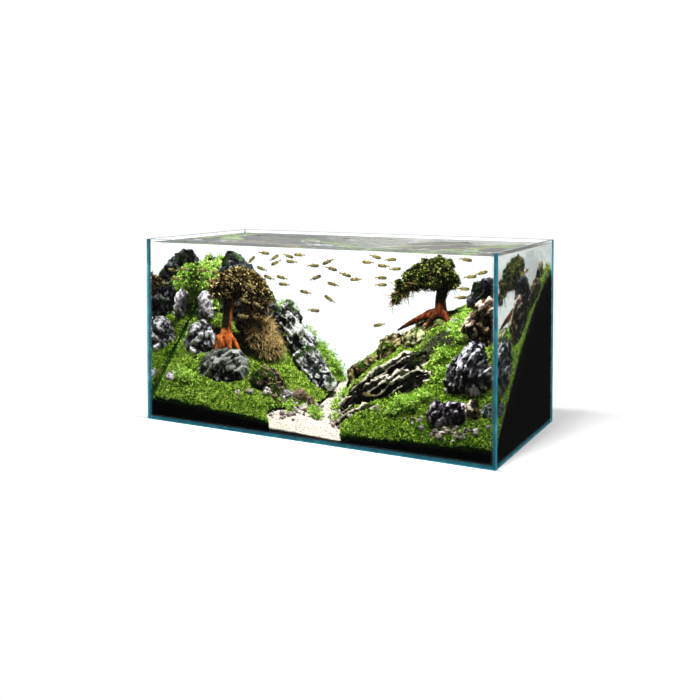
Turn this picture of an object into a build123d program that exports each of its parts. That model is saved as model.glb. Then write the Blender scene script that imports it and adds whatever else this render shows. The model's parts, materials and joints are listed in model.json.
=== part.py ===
from build123d import *
import math
import os

# A rimless planted aquarium. X runs along the tank, Y from the front pane to the rear pane, Z up.
# The origin is the middle of the footprint, on the surface that the tank stands on. Millimetres.

os.makedirs("parts", exist_ok=True)

# The tank: outer sizes, glass, and the silicone that glues it.
LENGTH = 900.0
DEPTH = 450.0
HEIGHT = 450.0
GLASS = 8.0
FILM = 0.8  # silicone between two glued panes
BEAD = 4.0  # leg of the silicone fillet inside each joint

# The landscape is drawn for this inner space and stretched to the tank that it is laid in.
DRAWN_LENGTH = 884.0
DRAWN_DEPTH = 434.0
DRAWN_HEIGHT = 442.0
DRAWN_FLOOR = 8.0
HALF_X = DRAWN_LENGTH / 2
HALF_Y = DRAWN_DEPTH / 2

# The ground: a sand path between two banks of black soil, with a carpet of low plants on the soil.
SAND_FRONT = 13.0
SAND_RISE = 72.0
PATH_MIDDLE_FRONT = 15.0
PATH_MIDDLE_SHIFT = -62.0
PATH_HALF_REAR = 12.0
PATH_HALF_GAIN = 63.0
BAY_WIDTH = 72.0  # how far the sand spreads to the left near the front
BAY_RISE = 26.0  # and how much it rises there
LEFT_SOIL_FRONT = 46.0
LEFT_SOIL_RISE = 300.0
RIGHT_SOIL_FRONT = 30.0
RIGHT_SOIL_RISE = 335.0
CARPET = 11.0
ROWS = [0.0, 0.06, 0.12, 0.18, 0.26, 0.36, 0.5, 0.66, 0.83, 1.0]  # shares of the depth
COLUMNS = [0.0, 0.06, 0.15, 0.3, 0.5, 0.75, 1.0]  # shares from the path's edge to the glass

# The ground heights in force, and those that the stones and trees were drawn for. What stands on the
# soil rises or sinks with it.
GROUND = (SAND_FRONT, SAND_RISE, LEFT_SOIL_FRONT, LEFT_SOIL_RISE, RIGHT_SOIL_FRONT, RIGHT_SOIL_RISE)
DRAWN_GROUND = (13.0, 72.0, 46.0, 300.0, 30.0, 335.0)

# The fish.
FISH_LENGTH = 33.0
FISH_HEIGHT = 8.4
FISH_THICKNESS = 4.6
FIN_THICKNESS = 1.0

CRUMB = 60.0  # cubic millimetres: what is left of a cut plant or pebble below this is dropped

INNER_X = LENGTH / 2 - GLASS
INNER_Y = DEPTH / 2 - GLASS
STRETCH_X = INNER_X / HALF_X
STRETCH_Y = INNER_Y / HALF_Y
STRETCH_Z = (HEIGHT - GLASS) / DRAWN_HEIGHT


def at(x, y, z):
    """A drawn point, at its place in the tank."""
    return Vector(x * STRETCH_X, y * STRETCH_Y, GLASS + (z - DRAWN_FLOOR) * STRETCH_Z)


# ---------------------------------------------------------------- solids from flat faces


def flat(*points):
    return Face(Wire.make_polygon(points, close=True))


def closed(faces):
    """The solid inside a closed set of flat faces."""
    solid = Solid(Shell(faces))
    return solid if solid.volume > 0 else Solid(Shell([-face for face in faces]))


def main_solid(shape):
    return max(shape.solids(), key=lambda solid: solid.volume)


def stack(rings):
    """The solid through a stack of rings, which are closed loops with the same number of points."""
    faces = [flat(*rings[0]), flat(*rings[-1])]
    count = len(rings[0])
    for low, high in zip(rings, rings[1:]):
        for i in range(count):
            j = (i + 1) % count
            faces.append(flat(low[i], low[j], high[j]))
            faces.append(flat(low[i], high[j], high[i]))
    return closed(faces)


def relief(top, base):
    """The solid between two grids of points, one above the other."""
    rows, columns = len(top), len(top[0])
    faces = []
    for i in range(rows - 1):
        for j in range(columns - 1):
            for grid in (top, base):
                faces.append(flat(grid[i][j], grid[i][j + 1], grid[i + 1][j + 1]))
                faces.append(flat(grid[i][j], grid[i + 1][j + 1], grid[i + 1][j]))
    for i in range(rows - 1):
        for j in (0, columns - 1):
            faces.append(flat(base[i][j], base[i + 1][j], top[i + 1][j], top[i][j]))
    for j in range(columns - 1):
        for i in (0, rows - 1):
            faces.append(flat(base[i][j], base[i][j + 1], top[i][j + 1], top[i][j]))
    return closed(faces)


def apart(a, b):
    """Whether the boxes of two shapes miss each other."""
    p, q = a.bounding_box(), b.bounding_box()
    return any(
        low > high
        for one, other in ((p, q), (q, p))
        for low, high in zip(tuple(one.min), tuple(other.max))
    )


def cut(shape, others):
    """The shape with what is already there taken out of it."""
    for other in others:
        if not apart(shape, other):
            shape = shape - other
    return shape


# ---------------------------------------------------------------- the glass and its silicone


def panes():
    side_depth = DEPTH - 2 * (GLASS + FILM)
    side_x = LENGTH / 2 - GLASS / 2
    face_y = DEPTH / 2 - GLASS / 2
    face = Box(LENGTH, GLASS, HEIGHT)
    side = Box(GLASS, side_depth, HEIGHT)
    floor = Box(LENGTH - 2 * (GLASS + FILM), side_depth, GLASS)
    return {
        "front_pane": Pos(0, -face_y, HEIGHT / 2) * face,
        "rear_pane": Pos(0, face_y, HEIGHT / 2) * face,
        "left_pane": Pos(-side_x, 0, HEIGHT / 2) * side,
        "right_pane": Pos(side_x, 0, HEIGHT / 2) * side,
        "bottom_pane": Pos(0, 0, GLASS / 2) * floor,
    }


def floor_seam(reach, run):
    """Silicone between the bottom pane and a wall at x = reach, with its fillet above the pane."""
    outline = [
        (reach, 0),
        (reach, GLASS + BEAD),
        (reach - BEAD, GLASS),
        (reach - FILM, GLASS),
        (reach - FILM, 0),
    ]
    section = flat(*[Vector(x, -run / 2, z) for x, z in outline])
    return Solid.extrude(section, Vector(0, run, 0))


def corner_seam():
    """Silicone between the front pane and the right pane, with its fillet in the inner corner."""
    outline = [
        (INNER_X + GLASS, -INNER_Y),
        (INNER_X + GLASS, -INNER_Y + FILM),
        (INNER_X, -INNER_Y + FILM),
        (INNER_X, -INNER_Y + BEAD),
        (INNER_X - BEAD, -INNER_Y),
    ]
    section = flat(*[Vector(x, y, 0) for x, y in outline])
    return Solid.extrude(section, Vector(0, 0, HEIGHT))


def seams(bottom_pane):
    right = floor_seam(INNER_X, 2 * INNER_Y)
    rear = Rot(0, 0, 90) * floor_seam(INNER_Y, 2 * INNER_X)
    front = rear.mirror(Plane.XZ)
    made = {"front_floor_seam": front, "rear_floor_seam": rear}
    made["right_floor_seam"] = cut(right, [front, rear])
    made["left_floor_seam"] = made["right_floor_seam"].mirror(Plane.YZ)
    corner = cut(corner_seam(), [bottom_pane, *made.values()])
    made["front_right_seam"] = main_solid(corner)
    made["front_left_seam"] = made["front_right_seam"].mirror(Plane.YZ)
    made["rear_right_seam"] = made["front_right_seam"].mirror(Plane.XZ)
    made["rear_left_seam"] = made["front_left_seam"].mirror(Plane.XZ)
    return made


# ---------------------------------------------------------------- the ground


def back_share(y):
    return (y + HALF_Y) / DRAWN_DEPTH


def swell(share, middle, width):
    """A smooth rise and fall along the depth, from 0 to 1."""
    return math.exp(-(((share - middle) / width) ** 2))


def sand_edge(side, y, ground=GROUND):
    """The height of the sand where it meets a bank."""
    share = back_share(y)
    front, rise = ground[:2]
    bay = BAY_RISE * swell(share, 0.2, 0.2) if side < 0 else 0
    return front + rise * share**1.3 + bay


def path_edge(side, y):
    share = back_share(y)
    half = PATH_HALF_REAR + PATH_HALF_GAIN * (1 - share) ** 1.6
    bay = BAY_WIDTH * swell(share, 0.12, 0.15) if side < 0 else 0
    return PATH_MIDDLE_FRONT + PATH_MIDDLE_SHIFT * share + side * (half + bay)


def soil_at_glass(side, y, ground=GROUND):
    share = back_share(y)
    left_front, left_rise, right_front, right_rise = ground[2:]
    if side < 0:
        return left_front + left_rise * share**0.95
    return right_front + right_rise * (1 - (1 - share) ** 1.45)


def bank_power(side, y):
    """How full the bank's slope is: 1 is straight, and less is rounder."""
    return (0.62 + 0.40 * back_share(y)) if side < 0 else (0.45 + 0.30 * back_share(y))


def bank_point(side, column, y, ground=GROUND):
    edge = path_edge(side, y)
    low = sand_edge(side, y, ground)
    x = edge + (side * HALF_X - edge) * column
    z = low + (soil_at_glass(side, y, ground) - low) * column ** bank_power(side, y)
    return x, y, z


def soil_top(x, y, ground=GROUND):
    """The height of the sand or soil at a drawn place."""
    left, right = path_edge(-1, y), path_edge(1, y)
    for side, edge in ((-1, left), (1, right)):
        if side * (x - edge) > 0:
            return bank_point(side, (x - edge) / (side * HALF_X - edge), y, ground)[2]
    share = (x - left) / (right - left)
    return sand_edge(-1, y, ground) * (1 - share) + sand_edge(1, y, ground) * share


def settling(x, y):
    """How far the soil at a drawn place lies above the soil that the stones and trees were drawn for."""
    return soil_top(x, y) - soil_top(x, y, DRAWN_GROUND)


def ground_top(x, y):
    """The height of what shows at a drawn place: bare sand, or the carpet over the soil."""
    on_sand = path_edge(-1, y) <= x <= path_edge(1, y)
    return soil_top(x, y) + (0 if on_sand else CARPET / STRETCH_Z)


def depths():
    return [-HALF_Y + share * DRAWN_DEPTH for share in ROWS]


def bank(side):
    grid = [[bank_point(side, column, y) for column in COLUMNS] for y in depths()]
    top = [[at(*point) for point in row] for row in grid]
    base = [[at(x, y, DRAWN_FLOOR) for x, y, _ in row] for row in grid]
    return relief(top, base)


def carpet(side):
    """Low plants that cover a bank evenly."""
    grid = [[bank_point(side, column, y) for column in COLUMNS] for y in depths()]
    soil = [[at(*point) for point in row] for row in grid]
    top = [[point + Vector(0, 0, CARPET) for point in row] for row in soil]
    return relief(top, soil)


def sand_path():
    top, base = [], []
    for y in depths():
        edges = [(side, path_edge(side, y)) for side in (-1, 1)]
        top.append([at(x, y, sand_edge(side, y)) for side, x in edges])
        base.append([at(x, y, DRAWN_FLOOR) for _, x in edges])
    return relief(top, base)


# ---------------------------------------------------------------- stones


def stone(outline, middle, thickness, end=0.55, lean=0.0, sideways=False):
    """A faceted stone: its outline at mid-thickness, drawn in to a smaller face at each end.

    The outline is (x, z) and the thickness runs along y, or (y, z) and x where sideways is true.
    """
    centre_a = sum(a for a, _ in outline) / len(outline)
    centre_z = sum(z for _, z in outline) / len(outline)
    lift = settling(middle, centre_a) if sideways else settling(centre_a, middle)
    rings = []
    for step, size in ((-1, end), (-0.45, 1), (0.45, 1), (1, end)):
        ring = []
        for a, z in outline:
            across = centre_a + (a - centre_a) * size + step * lean
            up = centre_z + (z - centre_z) * size + lift
            along = middle + step * thickness / 2
            ring.append(at(along, across, up) if sideways else at(across, along, up))
        rings.append(ring)
    return stack(rings)


# Small stones that lie together share a node.
STONE_GROUPS = {
    "ridge_stones": ["ridge_stone_1", "ridge_stone_2", "ridge_stone_3", "ridge_stone_4"],
    "small_left_stones": ["white_stone", "low_left_stone"],
    "front_right_stones": ["purple_stone_1", "purple_stone_2", "tan_stone", "slate_stone"],
}


def left_stones():
    return {
        "tall_peak_stone": stone(
            [
                (-410, 200), (-408, 300), (-392, 370), (-375, 408),
                (-350, 388), (-262, 312), (-208, 236), (-214, 190),
            ],
            148, 116, end=0.7, lean=-8,
        ),
        "cracked_stone": stone(
            [
                (-390, 42), (-372, 96), (-338, 150), (-304, 170),
                (-248, 172), (-222, 140), (-224, 72), (-304, 40),
            ],
            -75, 100,
        ),
        "grey_stone": stone(
            [
                (-428, 120), (-424, 178), (-404, 222), (-376, 234),
                (-350, 226), (-344, 186), (-356, 126), (-388, 92),
            ],
            -32, 70,
        ),
        "dark_stone": stone([(-412, 84), (-414, 130), (-368, 148), (-356, 92)], -66, 56),
        "white_stone": stone(
            [(-418, 226), (-420, 290), (-404, 302), (-390, 288), (-384, 230)], 50, 44
        ),
        "root_mound": stone([(-298, 228), (-216, 242), (-176, 168), (-198, 144), (-262, 168)], 42, 84),
        "brown_stone": stone(
            [(-214, 84), (-206, 118), (-176, 137), (-138, 124), (-98, 66), (-120, 34), (-190, 44)], -70, 80
        ),
        "ridge_stone_1": stone([(-222, 228), (-196, 276), (-154, 240), (-160, 196), (-196, 180)], 150, 64),
        "ridge_stone_2": stone([(-198, 198), (-158, 227), (-110, 180), (-124, 138), (-182, 144)], 138, 72),
        "ridge_stone_3": stone([(-162, 148), (-114, 177), (-66, 118), (-84, 86), (-146, 100)], 108, 72),
        "ridge_stone_4": stone([(-122, 96), (-70, 121), (-30, 88), (-58, 62), (-108, 64)], 84, 60),
        "low_left_stone": stone([(-434, 64), (-430, 104), (-414, 112), (-396, 98), (-392, 64)], -146, 40),
    }


def right_stones():
    return {
        "long_slab": stone(
            [
                (28, 48), (46, 98), (98, 143), (190, 196), (230, 204),
                (262, 166), (250, 104), (150, 56), (70, 36),
            ],
            12, 92, end=0.75, lean=10,
        ),
        "front_slab": stone(
            [(38, 18), (50, 76), (100, 118), (170, 150), (250, 170), (264, 118), (204, 72), (128, 26)],
            -64, 66, end=0.75, lean=8,
        ),
        "low_slab": stone([(40, 18), (64, 60), (140, 84), (180, 68), (116, 26)], -112, 36),
        "brown_side_stone": stone(
            [(0, 74), (-2, 122), (20, 141), (46, 157), (76, 156), (72, 110), (34, 74)], 108, 72
        ),
        "mossy_stone": stone([(64, 150), (83, 203), (120, 219), (136, 194), (122, 144), (78, 120)], 132, 84),
        "yellow_stone": stone(
            [(138, 228), (166, 240), (190, 234), (220, 206), (186, 178), (146, 188)], 112, 66
        ),
        "perch_stone": stone(
            [(150, 196), (160, 246), (206, 268), (250, 262), (262, 226), (226, 200)], 166, 74
        ),
        "pale_stone": stone([(256, 228), (267, 273), (292, 268), (292, 230)], 96, 46),
        "dark_top_stone": stone(
            [(314, 312), (316, 330), (336, 360), (371, 374), (388, 352), (380, 306), (340, 298)],
            62, 64,
        ),
        "holey_stone": stone(
            [(316, 258), (352, 318), (386, 332), (402, 262), (384, 212), (346, 222)], 24, 72
        ),
        "pyramid_stone": stone(
            [(306, 128), (312, 178), (344, 222), (362, 240), (380, 236), (407, 174), (412, 122), (356, 114)],
            -84, 92, end=0.5,
        ),
        "purple_stone_1": stone([(284, 86), (303, 125), (322, 116), (318, 66), (296, 66)], -168, 46),
        "purple_stone_2": stone([(322, 68), (325, 116), (344, 121), (367, 111), (364, 74)], -162, 50),
        "tan_stone": stone([(370, 84), (371, 120), (388, 130), (400, 98), (398, 84)], -150, 42),
        "slate_stone": stone([(404, 84), (402, 114), (417, 127), (431, 106), (430, 84)], -146, 36),
        "bark_stone": stone(
            [(64, 288), (74, 340), (128, 372), (166, 402), (170, 372), (126, 300), (96, 276)],
            400, 34, sideways=True,
        ),
    }


def pebble(x, y, size, turn):
    """A small loose stone, bedded in whatever covers the ground."""
    z = ground_top(x, y) + 0.15 * size
    rings = []
    for level, reach in ((-0.42, 0.5), (0.0, 1.0), (0.42, 0.55)):
        ring = []
        for corner in range(5):
            angle = math.radians(72 * corner + turn)
            spread = reach * size / 2 * (1.0 + 0.25 * math.cos(3 * angle + turn))
            offset = Vector(1.25 * spread * math.cos(angle), spread * math.sin(angle), level * size)
            ring.append(at(x, y, z) + offset)
        rings.append(ring)
    return stack(rings)


def pebbles(spots):
    return [pebble(x, y, size, 37.0 * number) for number, (x, y, size) in enumerate(spots)]


LEFT_PEBBLES = [
    (-102, -92, 30), (-78, -62, 36), (-56, -48, 26), (-58, -84, 24), (-44, -70, 15), (-34, -92, 13),
    (-92, -144, 14), (-66, -132, 12), (-30, -52, 11), (-46, -22, 18), (-84, -166, 11), (-146, -112, 24),
    (-126, -118, 17), (-186, -132, 15), (-214, -150, 17),
]
RIGHT_PEBBLES = [
    (24, -66, 13), (40, -104, 16), (58, -130, 14), (18, -24, 11), (6, 26, 11), (86, -140, 12),
    (338, -192, 14), (356, -186, 12), (378, -190, 13), (398, -188, 11), (310, -194, 11), (268, -176, 14),
    (150, -134, 13),
]


# ---------------------------------------------------------------- trees


LEFT_FOOT = (-300, -38, 206)
RIGHT_FOOT = (224, 152, 280)


def limb(path, radii, lift):
    """A tapering six-sided length of wood along a path."""
    points = [at(x, y, z + lift) for x, y, z in path]
    rings = []
    for number, (point, radius) in enumerate(zip(points, radii)):
        before = points[max(number - 1, 0)]
        after = points[min(number + 1, len(points) - 1)]
        along = (after - before).normalized()
        side = along.cross(Vector(0.1, 1, 0.2)).normalized()
        other = along.cross(side)
        ring = []
        for corner in range(6):
            angle = math.radians(60 * corner)
            ring.append(point + side * (radius * math.cos(angle)) + other * (radius * math.sin(angle)))
        rings.append(ring)
    return stack(rings)


def wood(foot, limbs):
    lift = settling(*foot[:2])
    grown = limb(*limbs[0], lift)
    for path, radii in limbs[1:]:
        grown = grown + limb(path, radii, lift)
    return main_solid(grown)


def left_trunk():
    foot = LEFT_FOOT
    return wood(foot, [
        ([(-301, -40, 196), (-300, -34, 220), (-300, -26, 255), (-298, -16, 300)], [19, 16, 14, 15]),
        ([foot, (-316, -52, 196), (-322, -62, 162)], [10, 8, 5]),
        ([foot, (-300, -62, 190), (-297, -72, 158)], [10, 8, 5]),
        ([foot, (-280, -60, 186), (-272, -70, 158)], [10, 8, 5]),
        ([foot, (-272, -44, 190), (-246, -48, 152)], [10, 7, 4]),
        ([foot, (-306, -22, 184), (-312, -10, 158)], [10, 8, 5]),
    ])


def right_trunk():
    foot = RIGHT_FOOT
    return wood(foot, [
        ([(224, 152, 268), (223, 152, 292), (222, 153, 312), (232, 154, 344)], [18, 14, 13, 17]),
        ([foot, (196, 142, 272), (160, 132, 254), (118, 128, 228)], [11, 10, 7, 3]),
        ([foot, (238, 140, 274), (252, 128, 252)], [10, 7, 4]),
        ([foot, (212, 132, 268), (196, 118, 246)], [10, 7, 4]),
        ([foot, (232, 168, 268), (244, 182, 250)], [10, 7, 4]),
        ([(230, 154, 330), (202, 152, 342), (176, 150, 350)], [9, 6, 4]),
    ])


def ball(x, y, z, radius):
    """A faceted ball."""
    centre = at(x, y, z)
    rings = []
    for latitude in (-66, -28, 12, 46, 78):
        level = radius * math.sin(math.radians(latitude))
        reach = radius * math.cos(math.radians(latitude))
        ring = []
        for corner in range(9):
            angle = math.radians(40 * corner + latitude + x)
            ring.append(centre + Vector(reach * math.cos(angle), reach * math.sin(angle), level))
        rings.append(ring)
    return stack(rings)


def clump(balls):
    """A mound of moss or leaves: overlapping balls, given by place and radius."""
    mound = ball(*balls[0])
    for place in balls[1:]:
        mound = mound + ball(*place)
    return mound


def crown(foot, balls):
    """The foliage of a tree, which rises or sinks with the tree's foot."""
    lift = settling(*foot[:2])
    return clump([(x, y, z + lift, radius) for x, y, z, radius in balls])


LEFT_CROWN = [
    (-300, -12, 326, 40), (-262, -10, 334, 40), (-226, -10, 318, 34), (-204, -8, 302, 25),
    (-334, -10, 316, 31), (-242, -4, 278, 26), (-216, -2, 268, 18),
]
RIGHT_CROWN = [
    (218, 155, 372, 42), (180, 154, 366, 35), (248, 155, 358, 27), (152, 150, 350, 27),
    (126, 149, 326, 25), (110, 148, 308, 18),
]


# ---------------------------------------------------------------- plants


def tufts(spots):
    """Bushy plants that stand in the ground, given by place, height over the ground and radius."""
    return clump([(x, y, soil_top(x, y) + rise, radius) for x, y, rise, radius in spots])


STEM_PLANTS = [
    (-420, 84, 30, 21), (-396, 80, 34, 22), (-418, 84, 68, 23), (-394, 80, 72, 23), (-417, 86, 102, 21),
    (-394, 84, 104, 20), (-374, 80, 92, 17), (-424, 124, 66, 17), (-424, 160, 60, 17), (-424, 196, 52, 17),
]
RIDGE_TUFTS = [
    (-238, 199, 30, 15), (-238, 200, 52, 15), (-196, 196, 34, 18), (-158, 196, 22, 18), (-154, 198, 44, 16),
    (-128, 194, 26, 18), (-108, 194, 34, 16), (-96, 192, 22, 18), (-72, 188, 20, 17), (-50, 190, 4, 12),
]
FRONT_TUFTS = [
    (-16, -104, 5, 12), (-32, -96, 5, 10), (-84, -112, 6, 12), (4, -2, 8, 14), (18, 20, 10, 14),
    (34, -84, 6, 12), (46, -66, 8, 11), (-384, -150, 14, 18), (-362, -152, 12, 16),
]
RIGHT_TUFTS = [
    (214, -136, 14, 20), (238, -142, 14, 19), (194, -150, 11, 15), (260, -120, 14, 17), (300, 30, 14, 20),
    (328, 70, 18, 20), (308, 94, 18, 20), (276, -20, 14, 19), (290, 60, 16, 18), (292, -70, 10, 16),
    (423, 176, 16, 16), (423, 199, 16, 16), (404, 196, 14, 16), (424, 150, 12, 15),
]


def weeping_moss():
    """Moss that hangs over the edge of the rocks like a curtain."""
    return stone([(218, 198), (232, 226), (258, 247), (304, 250), (306, 184), (259, 168), (226, 176)], 38, 44)


# ---------------------------------------------------------------- fish


def fish():
    """One small fish, nose towards +X: an oval body that tapers to a forked tail."""
    stations = [(0.5, 0.12), (0.42, 0.55), (0.26, 0.92), (0.08, 1.0), (-0.14, 0.72), (-0.3, 0.34)]
    rings = []
    for place, girth in stations:
        ring = []
        for corner in range(8):
            angle = math.radians(45 * corner)
            y = FISH_THICKNESS / 2 * girth * math.cos(angle)
            z = FISH_HEIGHT / 2 * girth * math.sin(angle)
            ring.append(Vector(place * FISH_LENGTH, y, z))
        rings.append(ring)
    body = stack(rings)
    fork = [(-0.27, 0.1), (-0.5, 0.5), (-0.41, 0.0), (-0.5, -0.5), (-0.27, -0.1)]
    tail = flat(*[Vector(x * FISH_LENGTH, -FIN_THICKNESS / 2, z * FISH_HEIGHT) for x, z in fork])
    return main_solid(body + Solid.extrude(tail, Vector(0, FIN_THICKNESS, 0)))


# Each shoal swims in one lane of the tank, so its fish share a y and a heading along X.
# A fish is (x, z, how far its nose points up in degrees).
SHOALS = {
    "fish_shoal_1": (60, -1, [(-125, 408, 0), (-148, 390, 2), (-193, 386, -25), (-235, 368, 15)]),
    "fish_shoal_2": (76, 1, [(-237, 408, -5), (-207, 396, 30), (-166, 403, -15), (-276, 387, 40)]),
    "fish_shoal_3": (
        -60, -1,
        [(-163, 357, 15), (-126, 359, 10), (-120, 343, 0), (-61, 327, 8), (4, 314, 28), (14, 350, 10)],
    ),
    "fish_shoal_4": (
        -96, 1, [(-28, 395, 0), (20, 390, -12), (56, 378, -15), (-22, 366, 20), (-27, 289, -3)]
    ),
    "fish_shoal_5": (
        -134, -1,
        [(-200, 303, 20), (-163, 295, 25), (-206, 266, 2), (-186, 341, 15), (27, 409, -25), (131, 110, 4)],
    ),
    "fish_shoal_6": (76, 1, [(75, 411, -15), (115, 405, 5), (127, 383, 5), (90, 360, 0), (91, 343, 2)]),
    "fish_shoal_7": (40, -1, [(70, 399, 0), (111, 392, 0), (38, 356, -5), (100, 250, -15)]),
    "fish_shoal_8": (105, 1, [(297, 411, -8), (291, 342, 0), (335, 381, 15), (308, 371, 6), (285, 321, 4)]),
    "fish_shoal_9": (48, 1, [(-376, 353, 5), (-413, 357, 0), (-388, 330, 8), (-346, 316, 0)]),
}


def shoal(lane, heading, places):
    one = fish()
    made = []
    for x, z, pitch in places:
        turned = Rot(0, 0, 0 if heading > 0 else 180) * Rot(0, -pitch, 0) * one
        made.append(Pos(at(x, lane, z)) * turned)
    return made


# ---------------------------------------------------------------- the whole tank


def bedded(stones):
    """Stones laid one after another, each cut where it meets one that already lies there."""
    laid = {}
    for name, shape in stones.items():
        laid[name] = main_solid(cut(shape, laid.values()))
    return laid


def pieces_left(shape):
    """The pieces of a cut clump, without crumbs."""
    return [solid for solid in shape.solids() if solid.volume > CRUMB]


def landscape(silicone):
    """Everything that is laid or planted in the tank."""
    stones = bedded({**left_stones(), **right_stones()})
    made = dict(stones)
    made["left_trunk"] = main_solid(cut(left_trunk(), stones.values()))
    made["right_trunk"] = main_solid(cut(right_trunk(), stones.values()))
    made["left_crown"] = main_solid(cut(crown(LEFT_FOOT, LEFT_CROWN), made.values()))
    made["right_crown"] = main_solid(cut(crown(RIGHT_FOOT, RIGHT_CROWN), made.values()))
    hard = [*made.values(), *silicone]
    made["sand_path"] = main_solid(cut(sand_path(), hard))
    made["left_soil"] = main_solid(cut(bank(-1), hard))
    made["right_soil"] = main_solid(cut(bank(1), hard))
    made["left_carpet"] = main_solid(cut(carpet(-1), hard))
    made["right_carpet"] = main_solid(cut(carpet(1), hard))
    made["weeping_moss"] = main_solid(cut(weeping_moss(), made.values()))
    for name, spots in (
        ("stem_plants", STEM_PLANTS),
        ("ridge_tufts", RIDGE_TUFTS),
        ("front_tufts", FRONT_TUFTS),
        ("right_tufts", RIGHT_TUFTS),
    ):
        made[name] = Compound(pieces_left(cut(tufts(spots), made.values())))
    for name, spots in (("left_pebbles", LEFT_PEBBLES), ("right_pebbles", RIGHT_PEBBLES)):
        there = list(made.values())
        kept = []
        for piece in pebbles(spots):
            kept += pieces_left(cut(piece, [*there, *kept]))
        made[name] = Compound(kept)
    for name, stone_names in STONE_GROUPS.items():
        made[name] = Compound([made.pop(stone_name) for stone_name in stone_names])
    return made


def main():
    made = panes()
    silicone = seams(made["bottom_pane"])
    made.update(silicone)
    made.update(landscape(silicone.values()))
    for name, (lane, heading, places) in SHOALS.items():
        made[name] = Compound(shoal(lane, heading, places))
    for name, shape in made.items():
        export_step(shape, f"parts/{name}.step")


main()
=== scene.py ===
import bpy
import bmesh
import json
import math
import numpy as np
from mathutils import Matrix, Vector
from mathutils.bvhtree import BVHTree


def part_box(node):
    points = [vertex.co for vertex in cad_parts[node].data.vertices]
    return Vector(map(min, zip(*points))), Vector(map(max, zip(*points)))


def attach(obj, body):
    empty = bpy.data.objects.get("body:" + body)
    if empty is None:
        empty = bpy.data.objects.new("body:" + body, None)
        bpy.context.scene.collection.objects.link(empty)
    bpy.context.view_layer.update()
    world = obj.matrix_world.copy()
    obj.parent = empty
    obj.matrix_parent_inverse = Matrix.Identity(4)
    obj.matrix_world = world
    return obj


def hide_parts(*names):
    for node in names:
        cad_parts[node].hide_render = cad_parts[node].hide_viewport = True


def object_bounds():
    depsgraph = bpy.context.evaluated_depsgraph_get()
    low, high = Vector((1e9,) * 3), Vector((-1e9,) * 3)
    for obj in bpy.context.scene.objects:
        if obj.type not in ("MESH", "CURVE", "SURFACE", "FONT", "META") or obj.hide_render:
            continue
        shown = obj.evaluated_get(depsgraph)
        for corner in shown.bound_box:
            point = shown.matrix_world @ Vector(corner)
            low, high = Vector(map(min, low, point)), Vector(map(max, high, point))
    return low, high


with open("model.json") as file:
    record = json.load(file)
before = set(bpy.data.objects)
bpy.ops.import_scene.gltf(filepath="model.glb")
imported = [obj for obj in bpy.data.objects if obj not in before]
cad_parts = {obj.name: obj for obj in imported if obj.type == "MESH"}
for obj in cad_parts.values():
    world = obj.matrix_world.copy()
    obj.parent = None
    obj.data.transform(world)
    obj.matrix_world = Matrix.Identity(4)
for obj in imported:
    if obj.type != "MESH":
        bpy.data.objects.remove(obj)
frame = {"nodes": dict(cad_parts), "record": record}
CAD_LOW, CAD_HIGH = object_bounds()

# A rimless planted aquarium. Everything is in metres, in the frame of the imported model.

NODES = frame["nodes"]
SLOTS = {row["node"]: row["material_slot"] for row in frame["record"]["subparts"]}
MM = 0.001
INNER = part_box("left_pane")[1].x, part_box("right_pane")[0].x
INNER_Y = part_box("front_pane")[1].y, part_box("rear_pane")[0].y
FLOOR_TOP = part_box("bottom_pane")[1].z
RIM = CAD_HIGH.z
WATER_TOP = RIM - 8 * MM
GLASS_IOR, WATER_IOR = 1.5, 1.333
WET_SHINE = 0.07  # water takes most of the shine off what lies in it


# ---- repeatable noise


def lattice(cells, seed):
    """A repeatable number from 0 to 1 for each cell of a grid."""
    x, y, z = ((cells[:, i] & 0xFFFFFFFF).astype(np.uint32) for i in range(3))
    mixed = (x * np.uint32(73856093)) ^ (y * np.uint32(19349663)) ^ (z * np.uint32(83492791))
    mixed = mixed ^ np.uint32((seed * 2654435761) & 0xFFFFFFFF)
    mixed = (mixed ^ (mixed >> np.uint32(13))) * np.uint32(1274126177)
    mixed = (mixed ^ (mixed >> np.uint32(15))) * np.uint32(2246822519)
    return ((mixed >> np.uint32(8)) & np.uint32(0xFFFF)).astype(np.float64) / 65535


def noise(points, size, seed=0):
    """Smooth noise from -1 to 1, with bumps about size millimetres across."""
    scaled = points / (size * MM)
    cell = np.floor(scaled)
    share = scaled - cell
    share = share * share * (3 - 2 * share)
    cell = cell.astype(np.int64)
    total = np.zeros(len(points))
    for corner in range(8):
        step = np.array([corner & 1, corner >> 1 & 1, corner >> 2 & 1])
        weight = np.prod(np.where(step, share, 1 - share), axis=1)
        total += weight * lattice(cell + step, seed)
    return total * 2 - 1


def layers(points, size, count=4, seed=0, ridged=False):
    """Noise at several sizes, each half the one before."""
    total = np.zeros(len(points))
    strength, most = 1.0, 0.0
    for level in range(count):
        one = noise(points, size / 2**level, seed + 17 * level)
        total += strength * (1 - 2 * np.abs(one) if ridged else one)
        most += strength
        strength *= 0.5
    return total / most


def crack(points, size, seed=0):
    """How near a point is to the wall between two random cells: 0 in a wall, and up to 1 inside."""
    scaled = points / (size * MM)
    cell = np.floor(scaled).astype(np.int64)
    near = np.full(len(points), 9.0)
    second = np.full(len(points), 9.0)
    for corner in range(27):
        step = np.array([corner % 3 - 1, corner // 3 % 3 - 1, corner // 9 - 1])
        here = cell + step
        spot = here + np.stack([lattice(here, seed + k) for k in range(3)], axis=1)
        far = np.linalg.norm(scaled - spot, axis=1)
        second = np.minimum(second, np.maximum(near, far))
        near = np.minimum(near, far)
    return np.clip(second - near, 0, 1)


# ---- materials


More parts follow.
